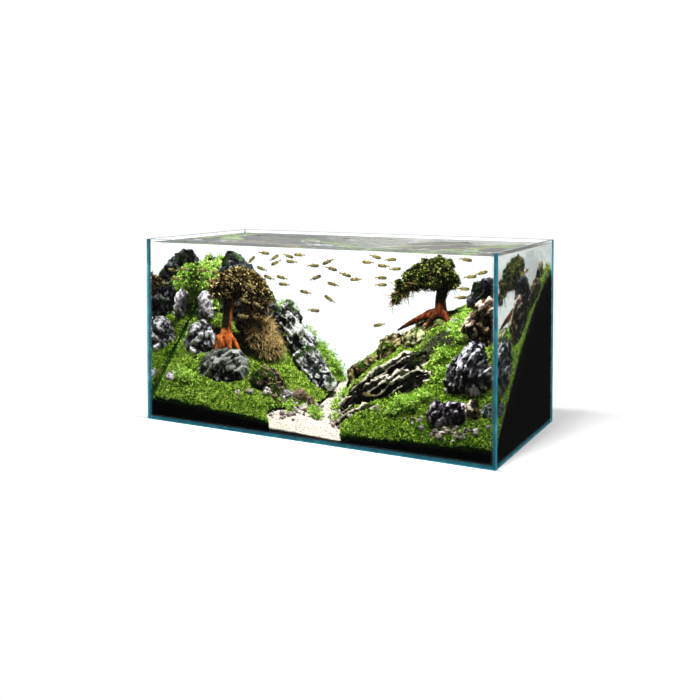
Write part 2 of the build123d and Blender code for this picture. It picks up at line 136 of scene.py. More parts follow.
class Nodes:
    """Short names for adding shader nodes to a tree."""

    def __init__(self, tree):
        self.tree = tree

    def add(self, kind, **settings):
        node = self.tree.nodes.new("ShaderNode" + kind)
        for key, value in settings.items():
            setattr(node, key, value)
        return node

    def put(self, node, name, value):
        """Give an input, by its name or number, a value or what comes out of another node."""
        if isinstance(value, bpy.types.NodeSocket):
            self.tree.links.new(value, node.inputs[name])
        else:
            node.inputs[name].default_value = value

    def math(self, operation, a, b):
        node = self.add("Math", operation=operation)
        self.put(node, 0, a)
        self.put(node, 1, b)
        return node.outputs[0]

    def plus(self, a, b):
        return self.math("ADD", a, b)

    def times(self, a, b):
        return self.math("MULTIPLY", a, b)


class Look(Nodes):
    """A procedural material on the object's own coordinates. Sizes and depths are in millimetres."""

    def __init__(self, name):
        self.material = bpy.data.materials.new(name)
        self.material.use_nodes = True
        super().__init__(self.material.node_tree)
        self.tree.nodes.clear()
        self.place = self.add("TexCoord").outputs["Object"]

    def noise(self, size, detail=3.0, stretch=None, rough=0.55, twist=0.0):
        node = self.add("TexNoise")
        self.put(node, "Vector", self.stretched(stretch))
        self.put(node, "Scale", 1 / (size * MM))
        self.put(node, "Detail", detail)
        self.put(node, "Roughness", rough)
        self.put(node, "Distortion", twist)
        return node.outputs["Fac"]

    def cells(self, size):
        node = self.add("TexVoronoi")
        self.put(node, "Vector", self.place)
        self.put(node, "Scale", 1 / (size * MM))
        return node.outputs["Distance"]

    def stretched(self, stretch):
        if stretch is None:
            return self.place
        node = self.add("Mapping")
        self.put(node, "Vector", self.place)
        self.put(node, "Scale", stretch)
        return node.outputs["Vector"]

    def per_leaf(self):
        return self.add("NewGeometry").outputs["Random Per Island"]

    def stored(self, name):
        return self.add("Attribute", attribute_name=name).outputs["Fac"]

    def ramp(self, value, *stops):
        """Colours or grey levels along a value, from stops of (where, colour)."""
        node = self.add("ValToRGB")
        self.put(node, "Fac", value)
        steps = node.color_ramp.elements
        while len(steps) < len(stops):
            steps.new(0.5)
        for step, (where, colour) in zip(steps, stops):
            step.position = where
            step.color = (*colour, 1) if isinstance(colour, tuple) else (colour, colour, colour, 1)
        return node.outputs["Color"]

    def spread(self, value, low, high):
        """Low to high over the middle of a noise's range."""
        return self.ramp(value, (0.3, low), (0.7, high))

    def uneven(self, size, low, high, detail=2.0):
        """Patches about size across, from low to high."""
        return self.spread(self.noise(size, detail), low, high)

    def swing(self, value, strength):
        """A value about 0.5, made to swing about 0."""
        return self.times(self.math("SUBTRACT", value, 0.5), strength)

    def mix(self, share, a, b, blend="MIX"):
        node = self.add("Mix", data_type="RGBA", blend_type=blend)
        for index, value in ((0, share), (6, a), (7, b)):
            self.put(node, index, (*value, 1) if isinstance(value, tuple) else value)
        return node.outputs[2]

    def shaded(self, colour, shade):
        return self.mix(1.0, colour, shade, "MULTIPLY")

    def bump(self, height, depth):
        node = self.add("Bump")
        self.put(node, "Height", height)
        self.put(node, "Distance", depth * MM)
        return node.outputs["Normal"]

    def principled(self, colour, rough, normal, **more):
        node = self.add("BsdfPrincipled")
        self.put(node, "Base Color", colour)
        self.put(node, "Roughness", rough)
        if normal is not None:
            self.put(node, "Normal", normal)
        for name, value in more.items():
            self.put(node, name.replace("_", " "), value)
        return node.outputs["BSDF"]

    def output(self, surface):
        self.put(self.add("OutputMaterial"), "Surface", surface)
        return self.material

    def finish(self, colour, rough, normal, **more):
        return self.output(self.principled(colour, rough, normal, **more))

    def wet(self, colour, rough, normal, **more):
        return self.finish(colour, rough, normal, Specular_IOR_Level=WET_SHINE, **more)

    def blended(self, share, low, high):
        """A material that is one surface where share is 0 and the other where it is 1."""
        node = self.add("MixShader")
        for index, value in enumerate((share, low, high)):
            self.put(node, index, value)
        return self.output(node.outputs[0])

    def clear(self, ior, tint, normal, rough=0.0):
        """Glass or water that lets the lamp's light through."""
        glass = self.add("BsdfGlass")
        self.put(glass, "IOR", ior)
        self.put(glass, "Color", (*tint, 1))
        self.put(glass, "Roughness", rough)
        self.put(glass, "Normal", normal)
        through = self.add("BsdfTransparent")
        self.put(through, "Color", (*tint, 1))
        shadow = self.add("LightPath").outputs["Is Shadow Ray"]
        return self.blended(shadow, glass.outputs[0], through.outputs[0])


def glass_look():
    look = Look("clear_float_glass")
    smear = look.ramp(look.noise(90), (0.35, 0.0), (0.8, 0.012))
    wave = look.bump(look.noise(60, 1.0), 0.02)
    return look.clear(GLASS_IOR, (0.985, 1.0, 0.995), wave, smear)


def glass_edge_look():
    """The edge of float glass, where its tint gathers, with a painted glow in that tint."""
    look = Look("polished_glass_edge")
    streak = look.noise(9, stretch=(0.3, 0.3, 0.3))
    colour = look.ramp(
        streak, (0.25, (0.005, 0.13, 0.20)), (0.55, (0.018, 0.25, 0.34)), (0.8, (0.07, 0.42, 0.52))
    )
    bump = look.bump(look.noise(1.5, 2.0, stretch=(1, 1, 0.2)), 0.05)
    rough = look.uneven(4, 0.08, 0.22)
    # The emission is a painted glow standing in for light carried along inside the glass; the edge is no
    # lamp.
    return look.finish(colour, rough, bump, IOR=GLASS_IOR, Emission_Color=colour, Emission_Strength=0.42)


def rim_look():
    """The ground top edge of a pane: a dull grey."""
    look = Look("ground_glass_rim")
    colour = look.uneven(14, (0.05, 0.06, 0.065), (0.13, 0.15, 0.16), 3.0)
    bump = look.bump(look.noise(2, 2.0), 0.05)
    return look.finish(colour, look.uneven(4, 0.2, 0.4), bump, Specular_IOR_Level=0.1)


def silicone_look():
    look = Look("clear_silicone")
    colour = look.uneven(5, (0.36, 0.52, 0.52), (0.60, 0.74, 0.74), 3.0)
    bump = look.bump(look.noise(3, 2.0), 0.2)
    body = look.principled(colour, look.uneven(2, 0.2, 0.4), bump)
    return look.blended(look.uneven(8, 0.78, 0.9), body, look.add("BsdfTransparent").outputs[0])


def water_look():
    look = Look("tank_water")
    return look.clear(WATER_IOR, (0.985, 0.99, 0.985), look.bump(look.noise(26, 2.0), 0.05))


def stone_look(name, dark, middle, light, moss=0.0, grain=4.0, stretch=(1, 1, 1)):
    """Rock: painted dark in its cracks as shade and pale on its edges as painted highlight, with patches of
    moss where it faces up.
    """
    look = Look(name)
    grains = look.noise(grain, 5.0, rough=0.75, stretch=stretch)
    # The stored level holds the rock's random tone together with painted shade in its cracks and holes and
    # painted highlight on its raised parts.
    level = look.plus(look.stored("tone_and_painted_shading"), look.swing(grains, 1.3))
    bright = tuple(min(1, c * 1.3) for c in light)
    colour = look.ramp(level, (0.22, dark), (0.45, middle), (0.66, light), (0.95, bright))
    colour = look.shaded(colour, look.uneven(34, 0.5, 1.0, 4.0))
    speck = look.ramp(look.cells(1.8), (0.0, 1.0), (0.16, 0.0))
    colour = look.mix(look.times(speck, 0.35), colour, dark)
    if moss:
        green = look.ramp(
            look.noise(2.6),
            (0.3, (0.008, 0.022, 0.003)), (0.55, (0.05, 0.10, 0.012)), (0.8, (0.20, 0.28, 0.04)),
        )
        colour = look.mix(look.times(look.stored("moss"), moss), colour, green)
    bump = look.bump(look.mix(0.5, grains, look.noise(1.2, 2.0)), 1.2)
    return look.wet(colour, look.spread(grains, 0.5, 0.8), bump)


def leaf_look(name, *stops, glow=0.15, patch=0.45, fleck=0.0):
    """Leaves: each one has its own green, and whole patches and small flecks are darker or lighter."""
    look = Look(name)
    own = look.plus(look.times(look.per_leaf(), 0.7), look.swing(look.noise(24), patch))
    own = look.plus(look.plus(own, 0.22), look.swing(look.noise(7), fleck))
    colour = look.shaded(look.ramp(own, *stops), look.uneven(1.1, 0.72, 1.0))
    bump = look.bump(look.noise(0.9, 2.0), 0.25)
    glowing = {"Subsurface_Weight": glow, "Subsurface_Radius": (0.003, 0.004, 0.001)}
    return look.wet(colour, look.uneven(3, 0.45, 0.7), bump, **glowing)


def soil_look():
    look = Look("black_soil_grains")
    grains = look.cells(2.6)
    colour = look.ramp(
        grains, (0.0, (0.010, 0.009, 0.009)), (0.6, (0.004, 0.0035, 0.0035)), (1.0, (0.001, 0.001, 0.001))
    )
    pale = look.ramp(look.noise(2.4, 2.0), (0.66, 0.0), (0.78, 1.0))
    colour = look.mix(look.times(pale, 0.35), colour, (0.03, 0.026, 0.024))
    return look.wet(colour, look.uneven(3, 0.7, 0.95), look.bump(grains, 1.2))


def sand_look():
    look = Look("pale_sand")
    grains = look.cells(1.7)
    tone = look.noise(1.9, 4.0, rough=0.7)
    colour = look.ramp(
        tone,
        (0.26, (0.08, 0.055, 0.03)), (0.37, (0.45, 0.36, 0.27)),
        (0.50, (0.74, 0.68, 0.60)), (0.8, (0.86, 0.82, 0.76)),
    )
    colour = look.shaded(colour, look.ramp(grains, (0.0, 1.0), (0.9, 0.6)))
    colour = look.mix(look.stored("low"), colour, (0.15, 0.095, 0.05))
    return look.wet(colour, look.spread(tone, 0.7, 0.95), look.bump(grains, 0.8))


def grain_look():
    look = Look("loose_sand_grains")
    colour = look.ramp(
        look.per_leaf(),
        (0.0, (0.03, 0.02, 0.012)), (0.18, (0.16, 0.11, 0.07)),
        (0.36, (0.55, 0.47, 0.38)), (1.0, (0.78, 0.74, 0.68)),
    )
    return look.finish(colour, look.uneven(1, 0.5, 0.8), look.bump(look.noise(0.6, 2.0), 0.1))


def tangle_look(name, *stops):
    """The tangle of stems under the leaves, coloured dark: partly its own colour, partly painted shade deep
    under and between the leaves.
    """
    look = Look(name)
    colour = look.ramp(look.noise(5, 4.0, rough=0.7), *stops)
    return look.wet(colour, look.uneven(4, 0.75, 0.95), look.bump(look.noise(2.2), 2.0))


def wood_look(name, *stops, fresh=None):
    """Driftwood with long fibres, painted darker in its grooves as shade and paler on raised fibres as
    highlight. Where its stored tone is high the wood shows its fresh colours.
    """
    look = Look(name)
    fibre = look.noise(9, 5.0, stretch=(1, 1, 0.22), rough=0.65, twist=0.6)
    # The stored level paints the grooves between fibres darker as shade and the raised fibres paler as
    # highlight.
    level = look.plus(look.times(fibre, 0.75), look.times(look.stored("tone_and_painted_shading"), 0.35))
    colour = look.ramp(level, *stops)
    if fresh:
        colour = look.mix(look.stored("tone"), colour, look.ramp(level, *fresh))
    return look.wet(colour, look.spread(fibre, 0.45, 0.8), look.bump(fibre, 1.5))


def pebble_look(name):
    look = Look(name)
    tone = look.ramp(
        look.per_leaf(),
        (0.0, (0.04, 0.030, 0.025)), (0.25, (0.20, 0.18, 0.19)), (0.5, (0.13, 0.085, 0.05)),
        (0.7, (0.52, 0.48, 0.46)), (1.0, (0.22, 0.18, 0.16)),
    )
    grain = look.noise(4, 5.0, rough=0.7)
    # Painted shade and highlight: the colour is darkened in the low places and lightened on the raised flakes
    # of the stored relief.
    level = look.plus(look.times(grain, 0.8), look.times(look.stored("tone_and_painted_shading"), 0.4))
    colour = look.shaded(tone, look.ramp(level, (0.35, 0.04), (0.58, 0.6), (0.8, 1.7)))
    return look.wet(colour, look.spread(grain, 0.5, 0.8), look.bump(grain, 0.6))


def fish_look():
    look = Look("fish_skin")
    back = look.ramp(
        look.stored("rise"),
        (0.0, (0.66, 0.58, 0.22)), (0.42, (0.62, 0.52, 0.14)),
        (0.6, (0.16, 0.13, 0.03)), (1.0, (0.05, 0.045, 0.012)),
    )
    head = look.ramp(
        look.stored("along"),
        (0.0, (0.30, 0.20, 0.07)), (0.12, (0.10, 0.06, 0.02)), (0.3, (0.62, 0.48, 0.20)),
        (0.8, (0.52, 0.38, 0.12)), (1.0, (0.25, 0.18, 0.06)),
    )
    blotch = look.ramp(look.noise(5), (0.40, (0.30, 0.28, 0.2)), (0.58, (1.0, 1.0, 0.9)))
    scales = look.cells(0.9)
    colour = look.shaded(look.mix(0.5, back, head), blotch)
    colour = look.shaded(colour, look.ramp(scales, (0.0, 1.0), (0.8, 0.7)))
    return look.finish(colour, look.uneven(2, 0.22, 0.4), look.bump(scales, 0.1), Metallic=0.15)


def fin_look():
    look = Look("fish_fins")
    ray = look.noise(1.2, 2.0, stretch=(0.2, 1, 1))
    colour = look.spread(ray, (0.20, 0.14, 0.05), (0.55, 0.42, 0.18))
    return look.finish(colour, look.spread(ray, 0.3, 0.5), look.bump(ray, 0.1), Transmission_Weight=0.15)


def eye_look():
    look = Look("fish_eye")
    colour = look.uneven(0.8, (0.004, 0.004, 0.004), (0.02, 0.018, 0.012))
    bump = look.bump(look.noise(0.6, 1.0), 0.02)
    return look.finish(colour, look.uneven(0.5, 0.08, 0.16, 1.0), bump)


def floor_look():
    """A white floor that fades into the white surround away from the tank."""
    look = Look("pale_floor")
    colour = look.uneven(400, (0.93, 0.93, 0.93), (0.95, 0.95, 0.95), 3.0)
    body = look.principled(colour, look.uneven(200, 0.8, 0.9), None, Specular_IOR_Level=0.1)
    white = look.add("Emission")
    look.put(white, "Strength", 1.0)
    distance = look.add("VectorMath", operation="LENGTH")
    look.put(distance, 0, look.place)
    away = look.math("DIVIDE", distance.outputs["Value"], 3.0)
    return look.blended(look.ramp(away, (0.12, 0.45), (0.34, 1.0)), body, white.outputs[0])


# ---- meshes


def in_scene(name, data):
    obj = bpy.data.objects.new(name, data)
    bpy.context.scene.collection.objects.link(obj)
    return obj


def mesh_from(name, verts, groups, looks, smooth=True):
    """A mesh object. groups is [(faces with the same number of corners, material number), ...]."""
    mesh = bpy.data.meshes.new(name)
    groups = [(np.asarray(f), m) for f, m in groups if len(f)]
    sizes = np.concatenate([np.full(len(f), f.shape[1]) for f, _ in groups])
    loops = np.concatenate([f.ravel() for f, _ in groups]).astype(np.int32)
    starts = np.concatenate([[0], np.cumsum(sizes)[:-1]]).astype(np.int32)
    numbers = np.concatenate([np.full(len(f), m) for f, m in groups]).astype(np.int32)
    mesh.vertices.add(len(verts))
    mesh.vertices.foreach_set("co", np.asarray(verts, np.float32).ravel())
    mesh.loops.add(len(loops))
    mesh.loops.foreach_set("vertex_index", loops)
    mesh.polygons.add(len(sizes))
    mesh.polygons.foreach_set("loop_start", starts)
    mesh.polygons.foreach_set("material_index", numbers)
    mesh.polygons.foreach_set("use_smooth", np.full(len(sizes), smooth))
    for look in looks:
        mesh.materials.append(look)
    mesh.update(calc_edges=True)
    return in_scene(name, mesh)


def gathered(parts):
    """Corners and face groups of several parts: (corners, faces or a tuple of faces, material number)."""
    verts, groups, start = [], [], 0
    for co, faces, number in parts:
        verts.append(co)
        for same_size in faces if isinstance(faces, tuple) else (faces,):
            groups.append((np.asarray(same_size) + start, number))
        start += len(co)
    return np.concatenate(verts), groups


def belongs(obj, slot, *nodes, body="tank"):
    """obj rides with a body and stands for these nodes, whose CAD parts are hidden. slot is not used."""
    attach(obj, body)
    if nodes:
        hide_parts(*nodes)
    return obj


def piece(name, node, looks, parts, body="tank", smooth=True):
    """A visible piece, kept inside the glass, that stands for a node."""
    verts, groups = gathered(parts)
    return belongs(mesh_from(name, inside(verts), groups, looks, smooth), SLOTS[node], node, body=body)


def store(obj, name, values, rest=0.0):
    """Keep a number for each corner. The corners past the end of values get rest."""
    padded = np.full(len(obj.data.vertices), rest, np.float32)
    padded[: len(values)] = values
    obj.data.attributes.new(name, "FLOAT", "POINT").data.foreach_set("value", padded)


def corners(mesh):
    co = np.zeros(len(mesh.vertices) * 3)
    mesh.vertices.foreach_get("co", co)
    return co.reshape(-1, 3)


def normals(mesh):
    out = np.zeros(len(mesh.vertices) * 3)
    mesh.vertices.foreach_get("normal", out)
    return out.reshape(-1, 3)


def quads_of(mesh):
    """The mesh's faces as rows of four corners."""
    count = np.zeros(len(mesh.polygons), np.int32)
    mesh.polygons.foreach_get("loop_total", count)
    loops = np.zeros(len(mesh.loops), np.int32)
    mesh.loops.foreach_get("vertex_index", loops)
    assert (count == 4).all()
    return loops.reshape(-1, 4)


def remeshed(name, voxel=3 * MM, smooth=0):
    """Corners, normals and faces of a node after an even remesh."""
    data = NODES[name].data
    data.calc_loop_triangles()
    tris = np.zeros(len(data.loop_triangles) * 3, np.int32)
    data.loop_triangles.foreach_get("vertices", tris)
    work = mesh_from("work", corners(data), [(tris.reshape(-1, 3), 0)], [])
    modifier = work.modifiers.new("Remesh", "REMESH")
    modifier.mode = "VOXEL"
    modifier.voxel_size = voxel
    if smooth:
        modifier = work.modifiers.new("Smooth", "SMOOTH")
        modifier.iterations = smooth
    graph = bpy.context.evaluated_depsgraph_get()
    result = bpy.data.meshes.new_from_object(work.evaluated_get(graph))
    bpy.data.objects.remove(work)
    co, no, quads = corners(result), normals(result), quads_of(result)
    bpy.data.meshes.remove(result)
    return co, no, quads


def inside(points, margin=0.4 * MM):
    """The points, kept inside the glass."""
    low = (INNER[0] + margin, INNER_Y[0] + margin, FLOOR_TOP + margin)
    high = (INNER[1] - margin, INNER_Y[1] - margin, RIM)
    return np.clip(points, low, high)


def sampled(co, quads, count, rng, keep=None):
    """Points spread evenly over faces, with the face normals."""
    a, b, c, d = (co[quads[:, i]] for i in range(4))
    cross = np.cross(c - a, d - b)
    area = np.linalg.norm(cross, axis=1) / 2
    facing = cross / np.maximum(np.linalg.norm(cross, axis=1, keepdims=True), 1e-12)
    if keep is not None:
        area = area * keep((a + b + c + d) / 4, facing)
    pick = rng.choice(len(quads), count, p=area / area.sum())
    u, v = rng.random((2, count, 1))
    points = (a[pick] * (1 - u) + b[pick] * u) * (1 - v) + (d[pick] * (1 - u) + c[pick] * u) * v
    return points, facing[pick]


def unit(vectors):
    return vectors / np.maximum(np.linalg.norm(vectors, axis=1, keepdims=True), 1e-12)


def leaves(points, along, length, width, rng, fold=0.25, droop=0.0):
    """Small folded leaves: four corners and two triangles each."""
    count = len(points)
    along = unit(along)
    side = unit(np.cross(along, unit(rng.normal(size=(count, 3)))))
    lift = np.cross(side, along)
    size = (length * rng.uniform(0.65, 1.25, count))[:, None]
    half = (width * rng.uniform(0.7, 1.2, count))[:, None] / 2
    middle = points + along * size * 0.5 + lift * half * fold
    tip = points + along * size - np.array([0, 0, 1]) * size * droop
    verts = np.stack([points, middle + side * half, tip, middle - side * half], axis=1)
    base = np.arange(count)[:, None] * 4
    faces = np.concatenate([base + [0, 1, 2], base + [0, 2, 3]])
    return verts.reshape(-1, 3), faces


def scatter(rng, facing, spread, rise=0.0):
    """Directions around the way each place faces, with some lift."""
    return unit(facing + rng.normal(size=facing.shape) * spread + np.array([0, 0, rise]))


def strips(paths, radius, sides=3):
    """Thin tapering stems: paths is (stems, stations, 3)."""
    count, stations, _ = paths.shape
    along = np.gradient(paths, axis=1)
    along /= np.maximum(np.linalg.norm(along, axis=2, keepdims=True), 1e-9)
    side = np.cross(along, np.array([0.31, 0.47, 0.83]))
    side /= np.maximum(np.linalg.norm(side, axis=2, keepdims=True), 1e-9)
    other = np.cross(along, side)
    taper = np.linspace(1, 0.35, stations)[None, :, None] * np.reshape(radius, (-1, 1, 1))
    rings = []
    for corner in range(sides):
        angle = 2 * math.pi * corner / sides
        rings.append(paths + (side * math.cos(angle) + other * math.sin(angle)) * taper)
    verts = np.stack(rings, axis=2).reshape(-1, 3)
    index = np.arange(count * stations * sides).reshape(count, stations, sides)
    faces = []
    for corner in range(sides):
        a, b = index[:, :-1, corner], index[:, :-1, (corner + 1) % sides]
        c, d = index[:, 1:, (corner + 1) % sides], index[:, 1:, corner]
        faces.append(np.stack([a, b, c, d], axis=-1).reshape(-1, 4))
    return verts, np.concatenate(faces)


def twigs(rng, starts, directions, length, bend, stations=5):
    """Crooked twigs from starts along directions."""
    count = len(starts)
    paths = [starts]
    heading = unit(directions)
    step = (length * rng.uniform(0.6, 1.2, count))[:, None] / (stations - 1)
    for _ in range(stations - 1):
        heading = unit(heading + rng.normal(size=(count, 3)) * bend)
        paths.append(paths[-1] + heading * step)
    return np.stack(paths, axis=1)


# ---- the glass and the water


def pane(name, thin_axis, looks):
    """A sheet of glass: clear on its two large faces, tinted round its edges and dull along its top."""
    low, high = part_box(name)
    bm = bmesh.new()
    bmesh.ops.create_cube(bm, size=1)
    centre, size = (low + high) / 2, high - low
    for v in bm.verts:
        v.co = Vector(c + s * k for c, s, k in zip(centre, size, v.co))
    bmesh.ops.bevel(bm, geom=bm.edges[:], offset=0.7 * MM, segments=2, affect="EDGES", profile=0.6)
    for face in bm.faces:
        large = abs(face.normal[thin_axis]) > 0.99 and face.calc_area() > 0.01
        top = face.normal.z > 0.2 and thin_axis != 2
        face.material_index = 0 if large else 2 if top else 1
    mesh = bpy.data.meshes.new(name + "_glass")
    bm.to_mesh(mesh)
    bm.free()
    for look in looks:
        mesh.materials.append(look)
    belongs(in_scene(name + "_glass", mesh), "clear_glass", name)


def plain(name, look):
    """A CAD node that keeps its shape and gets a look."""
    NODES[name].data.materials.clear()
    NODES[name].data.materials.append(look)


def build_glass():
    looks = [glass_look(), glass_edge_look(), rim_look()]
    silicone = silicone_look()
    for name, axis in (("front", 1), ("rear", 1), ("left", 0), ("right", 0), ("bottom", 2)):
        pane(name + "_pane", axis, looks)
    for name in NODES:
        if name.endswith("_seam"):
            plain(name, silicone)


def build_water():
    """The water as one closed body with a rippled top."""
    gap = 0.2 * MM
    xs = np.linspace(INNER[0] + gap, INNER[1] - gap, 201)
    ys = np.linspace(INNER_Y[0] + gap, INNER_Y[1] - gap, 101)
    grid = np.stack(np.meshgrid(xs, ys, indexing="ij"), axis=-1).reshape(-1, 2)
    flat = np.column_stack([grid, np.zeros(len(grid))])
    wave = layers(flat, 48, 2, seed=3) * 0.30 * MM
    top = np.column_stack([grid, WATER_TOP + wave])
    low = np.column_stack([grid, np.full(len(grid), FLOOR_TOP + gap)])
    index = np.arange(len(grid)).reshape(len(xs), len(ys))
    upper = np.stack([index[:-1, :-1], index[1:, :-1], index[1:, 1:], index[:-1, 1:]], axis=-1).reshape(-1, 4)
    lower = upper[:, ::-1] + len(grid)
    ring = np.concatenate([index[:, 0], index[-1, 1:], index[-2::-1, -1], index[0, -2::-1]])
    wall = np.stack([ring[:-1], ring[1:], ring[1:] + len(grid), ring[:-1] + len(grid)], axis=-1)[:, ::-1]
    obj = mesh_from("water", np.concatenate([top, low]), [(upper, 0), (lower, 0), (wall, 0)], [water_look()])
    smooth = np.arange(len(obj.data.polygons)) < len(upper)
    obj.data.polygons.foreach_set("use_smooth", smooth)
    belongs(obj, "water")


# ---- stones

# Each stone: its rock, the slant of its layers in degrees, and in millimetres how thick the layers are,
# how far they step, how deep the cracks are, and how rough it is.
STONES = {
    "tall_peak_stone": ("slate", 62, 20, 3.0, 3.0, 2.6),
    "cracked_stone": ("grey_layered", 48, 26, 4.5, 3.0, 1.2),
    "grey_stone": ("light_grey", 40, 22, 2.2, 3.0, 3.2),
    "dark_stone": ("black_rock", 30, 16, 2.6, 3.0, 3.0),
    "root_mound": ("straw_brown", 75, 12, 2.5, 4.0, 4.0),
    "brown_stone": ("dark_brown", 35, 14, 3.0, 4.0, 3.6),
    "ridge_stones": ("rough_white", -40, 18, 4.0, 6.0, 4.6),
    "small_left_stones": ("whitish", 60, 12, 1.8, 2.2, 2.2),
    "long_slab": ("striped_slab", 40, 18, 7.5, 3.0, 2.2),
    "front_slab": ("striped_slab", 40, 17, 7.5, 3.0, 2.2),
    "low_slab": ("striped_slab", 38, 16, 5.0, 2.6, 2.0),
    "brown_side_stone": ("mossy_brown", 60, 14, 3.0, 4.0, 4.0),
    "mossy_stone": ("mossy_brown", 70, 14, 3.0, 4.0, 4.0),
    "yellow_stone": ("yellow_green", 20, 16, 2.4, 4.0, 3.6),
    "perch_stone": ("mossy_brown", 30, 14, 3.0, 4.0, 3.4),
    "pale_stone": ("whitish", 70, 12, 2.0, 2.4, 2.4),
    "dark_top_stone": ("dark_purple", 55, 18, 4.0, 4.0, 4.0),
    "holey_stone": ("holey", 60, 16, 3.0, 6.0, 4.4),
    "pyramid_stone": ("mottled", 68, 14, 4.0, 5.0, 4.6),
    "front_right_stones": ("purple_grey", 70, 13, 2.6, 3.0, 3.0),
    "bark_stone": ("dark_brown", 45, 10, 2.2, 3.0, 2.8),
}

# Each rock: its dark, middle and light colours, how much moss colours it, how thickly moss leaves grow where
# it faces up, and how much paler its stored tone, painted shade and painted highlight are.
ROCKS = {
    "slate": ((0.003, 0.003, 0.004), (0.016, 0.018, 0.019), (0.14, 0.15, 0.15), 0.35, 0.2, -0.1),
    "grey_layered": ((0.002, 0.002, 0.002), (0.070, 0.071, 0.068), (0.30, 0.30, 0.28), 0.10, 0.12, 0.0),
    "light_grey": ((0.014, 0.013, 0.015), (0.20, 0.19, 0.20), (0.62, 0.60, 0.63), 0.0, 0.2, 0.0),
    "black_rock": ((0.001, 0.001, 0.001), (0.008, 0.008, 0.009), (0.09, 0.09, 0.092), 0.5, 0.4, 0.0),
    "straw_brown": ((0.004, 0.0025, 0.001), (0.07, 0.040, 0.012), (0.52, 0.36, 0.14), 0.5, 0.4, 0.0),
    "dark_brown": ((0.002, 0.0015, 0.001), (0.022, 0.013, 0.009), (0.34, 0.22, 0.14), 0.3, 0.3, -0.08),
    "rough_white": ((0.003, 0.003, 0.004), (0.075, 0.078, 0.080), (0.66, 0.66, 0.63), 0.35, 0.4, 0.0),
    "whitish": ((0.012, 0.010, 0.012), (0.16, 0.14, 0.155), (0.58, 0.54, 0.57), 0.0, 0.0, 0.0),
    "striped_slab": ((0.002, 0.0016, 0.001), (0.026, 0.018, 0.010), (0.62, 0.56, 0.45), 0.12, 0.05, 0.0),
    "mossy_brown": ((0.004, 0.003, 0.001), (0.06, 0.042, 0.014), (0.42, 0.34, 0.16), 0.75, 0.8, 0.0),
    "yellow_green": ((0.010, 0.010, 0.004), (0.22, 0.20, 0.09), (0.72, 0.68, 0.42), 0.4, 0.4, 0.0),
    "dark_purple": ((0.001, 0.001, 0.002), (0.010, 0.009, 0.014), (0.14, 0.13, 0.16), 0.3, 0.3, -0.2),
    "holey": ((0.003, 0.002, 0.001), (0.09, 0.045, 0.025), (0.66, 0.53, 0.42), 0.0, 0.15, -0.16),
    "mottled": ((0.002, 0.002, 0.003), (0.060, 0.056, 0.066), (0.66, 0.65, 0.70), 0.0, 0.0, -0.10),
    "purple_grey": ((0.003, 0.002, 0.004), (0.075, 0.06, 0.08), (0.50, 0.44, 0.50), 0.0, 0.0, -0.08),
    "tan": ((0.004, 0.003, 0.002), (0.20, 0.13, 0.07), (0.78, 0.70, 0.56), 0.0, 0.0, 0.0),
    "front_slate": ((0.01, 0.012, 0.012), (0.16, 0.18, 0.18), (0.36, 0.39, 0.39), 0.0, 0.0, 0.0),
}
GRAIN = {"grey_layered": {"grain": 7.0}, "mottled": {"stretch": (1, 1, 0.45)}}

# How many millimetres across the broken faces of a stone are, where they aren't 26.
FACE_SIZE = {
    "tall_peak_stone": 60, "dark_stone": 50, "cracked_stone": 34, "long_slab": 34,
    "front_slab": 30, "small_left_stones": 14, "front_right_stones": 20, "pale_stone": 16,
}
TAN_FROM, SLATE_FROM = 368.5 * MM, 402 * MM  # where the third and the fourth of the front right stones begin
STRAW_FIBRES = 650
CHIPS = 150  # loose chips around each group of pebbles


def stone_looks():
    looks = {}
    for name, (dark, middle, light, moss, _, _) in ROCKS.items():
        looks[name] = stone_look(name, dark, middle, light, moss, **GRAIN.get(name, {}))
    looks["straw"] = wood_look(
        "straw", (0.2, (0.05, 0.028, 0.008)), (0.34, (0.38, 0.25, 0.09)), (0.5, (0.86, 0.66, 0.34))
    )
    looks["moss_leaves"] = leaf_look(
        "moss_leaves",
        (0.1, (0.012, 0.04, 0.004)), (0.4, (0.06, 0.16, 0.012)),
        (0.65, (0.18, 0.36, 0.03)), (0.92, (0.40, 0.55, 0.08)),
    )
    return looks


def carve(co, slant, layer, step, depth, rough, seed):
    """How far each point stands out, in metres, how pale it is, and how near it is to the lip of a layer. The
    paleness is painted shade and highlight that follow the relief.
    """
    angle = math.radians(slant)
    across = np.array([-math.sin(angle), 0.25, math.cos(angle)])
    warped = co @ across + layers(co, 60, 3, seed) * 10 * MM
    place = warped / (layer * MM)
    number = np.floor(place).astype(np.int64)
    share = place - number
    strip = np.stack([number, number * 0, number * 0], axis=1)
    ridge = np.clip((share - 0.62) / 0.3, 0, 1) * np.clip(noise(co, 45, seed + 3) * 2 + 0.9, 0, 1)
    out = (lattice(strip, seed) - 0.5) * step + ridge * step - np.exp(-((share / 0.16) ** 2)) * step * 0.8
    bent = co + np.stack([noise(co, 25, seed + k) for k in (31, 32, 33)], axis=1) * 7 * MM
    walls = crack(bent * (1, 1, 0.6), 36, seed)
    gap = (1 - np.clip(walls / 0.13, 0, 1)) * np.clip(noise(co, 40, seed + 7) * 2 + 0.8, 0, 1)
    out -= gap * depth
    broad = layers(co, 38, 2, seed + 9)
    flakes = layers(bent * (1, 1, 0.55), 13, 4, seed + 11, ridged=True)
    out += broad * rough * 2.0 + flakes * rough * 0.8
    # Painted shade and highlight: darker down in the cracks, paler on raised bumps and flakes and along the
    # lips of the layers, where the rock's own pale lines lie as well.
    pale = 0.30 + ridge * 0.36 + flakes * 0.42 + broad * 0.2 - gap * 0.9
    return out * MM, pale, ridge


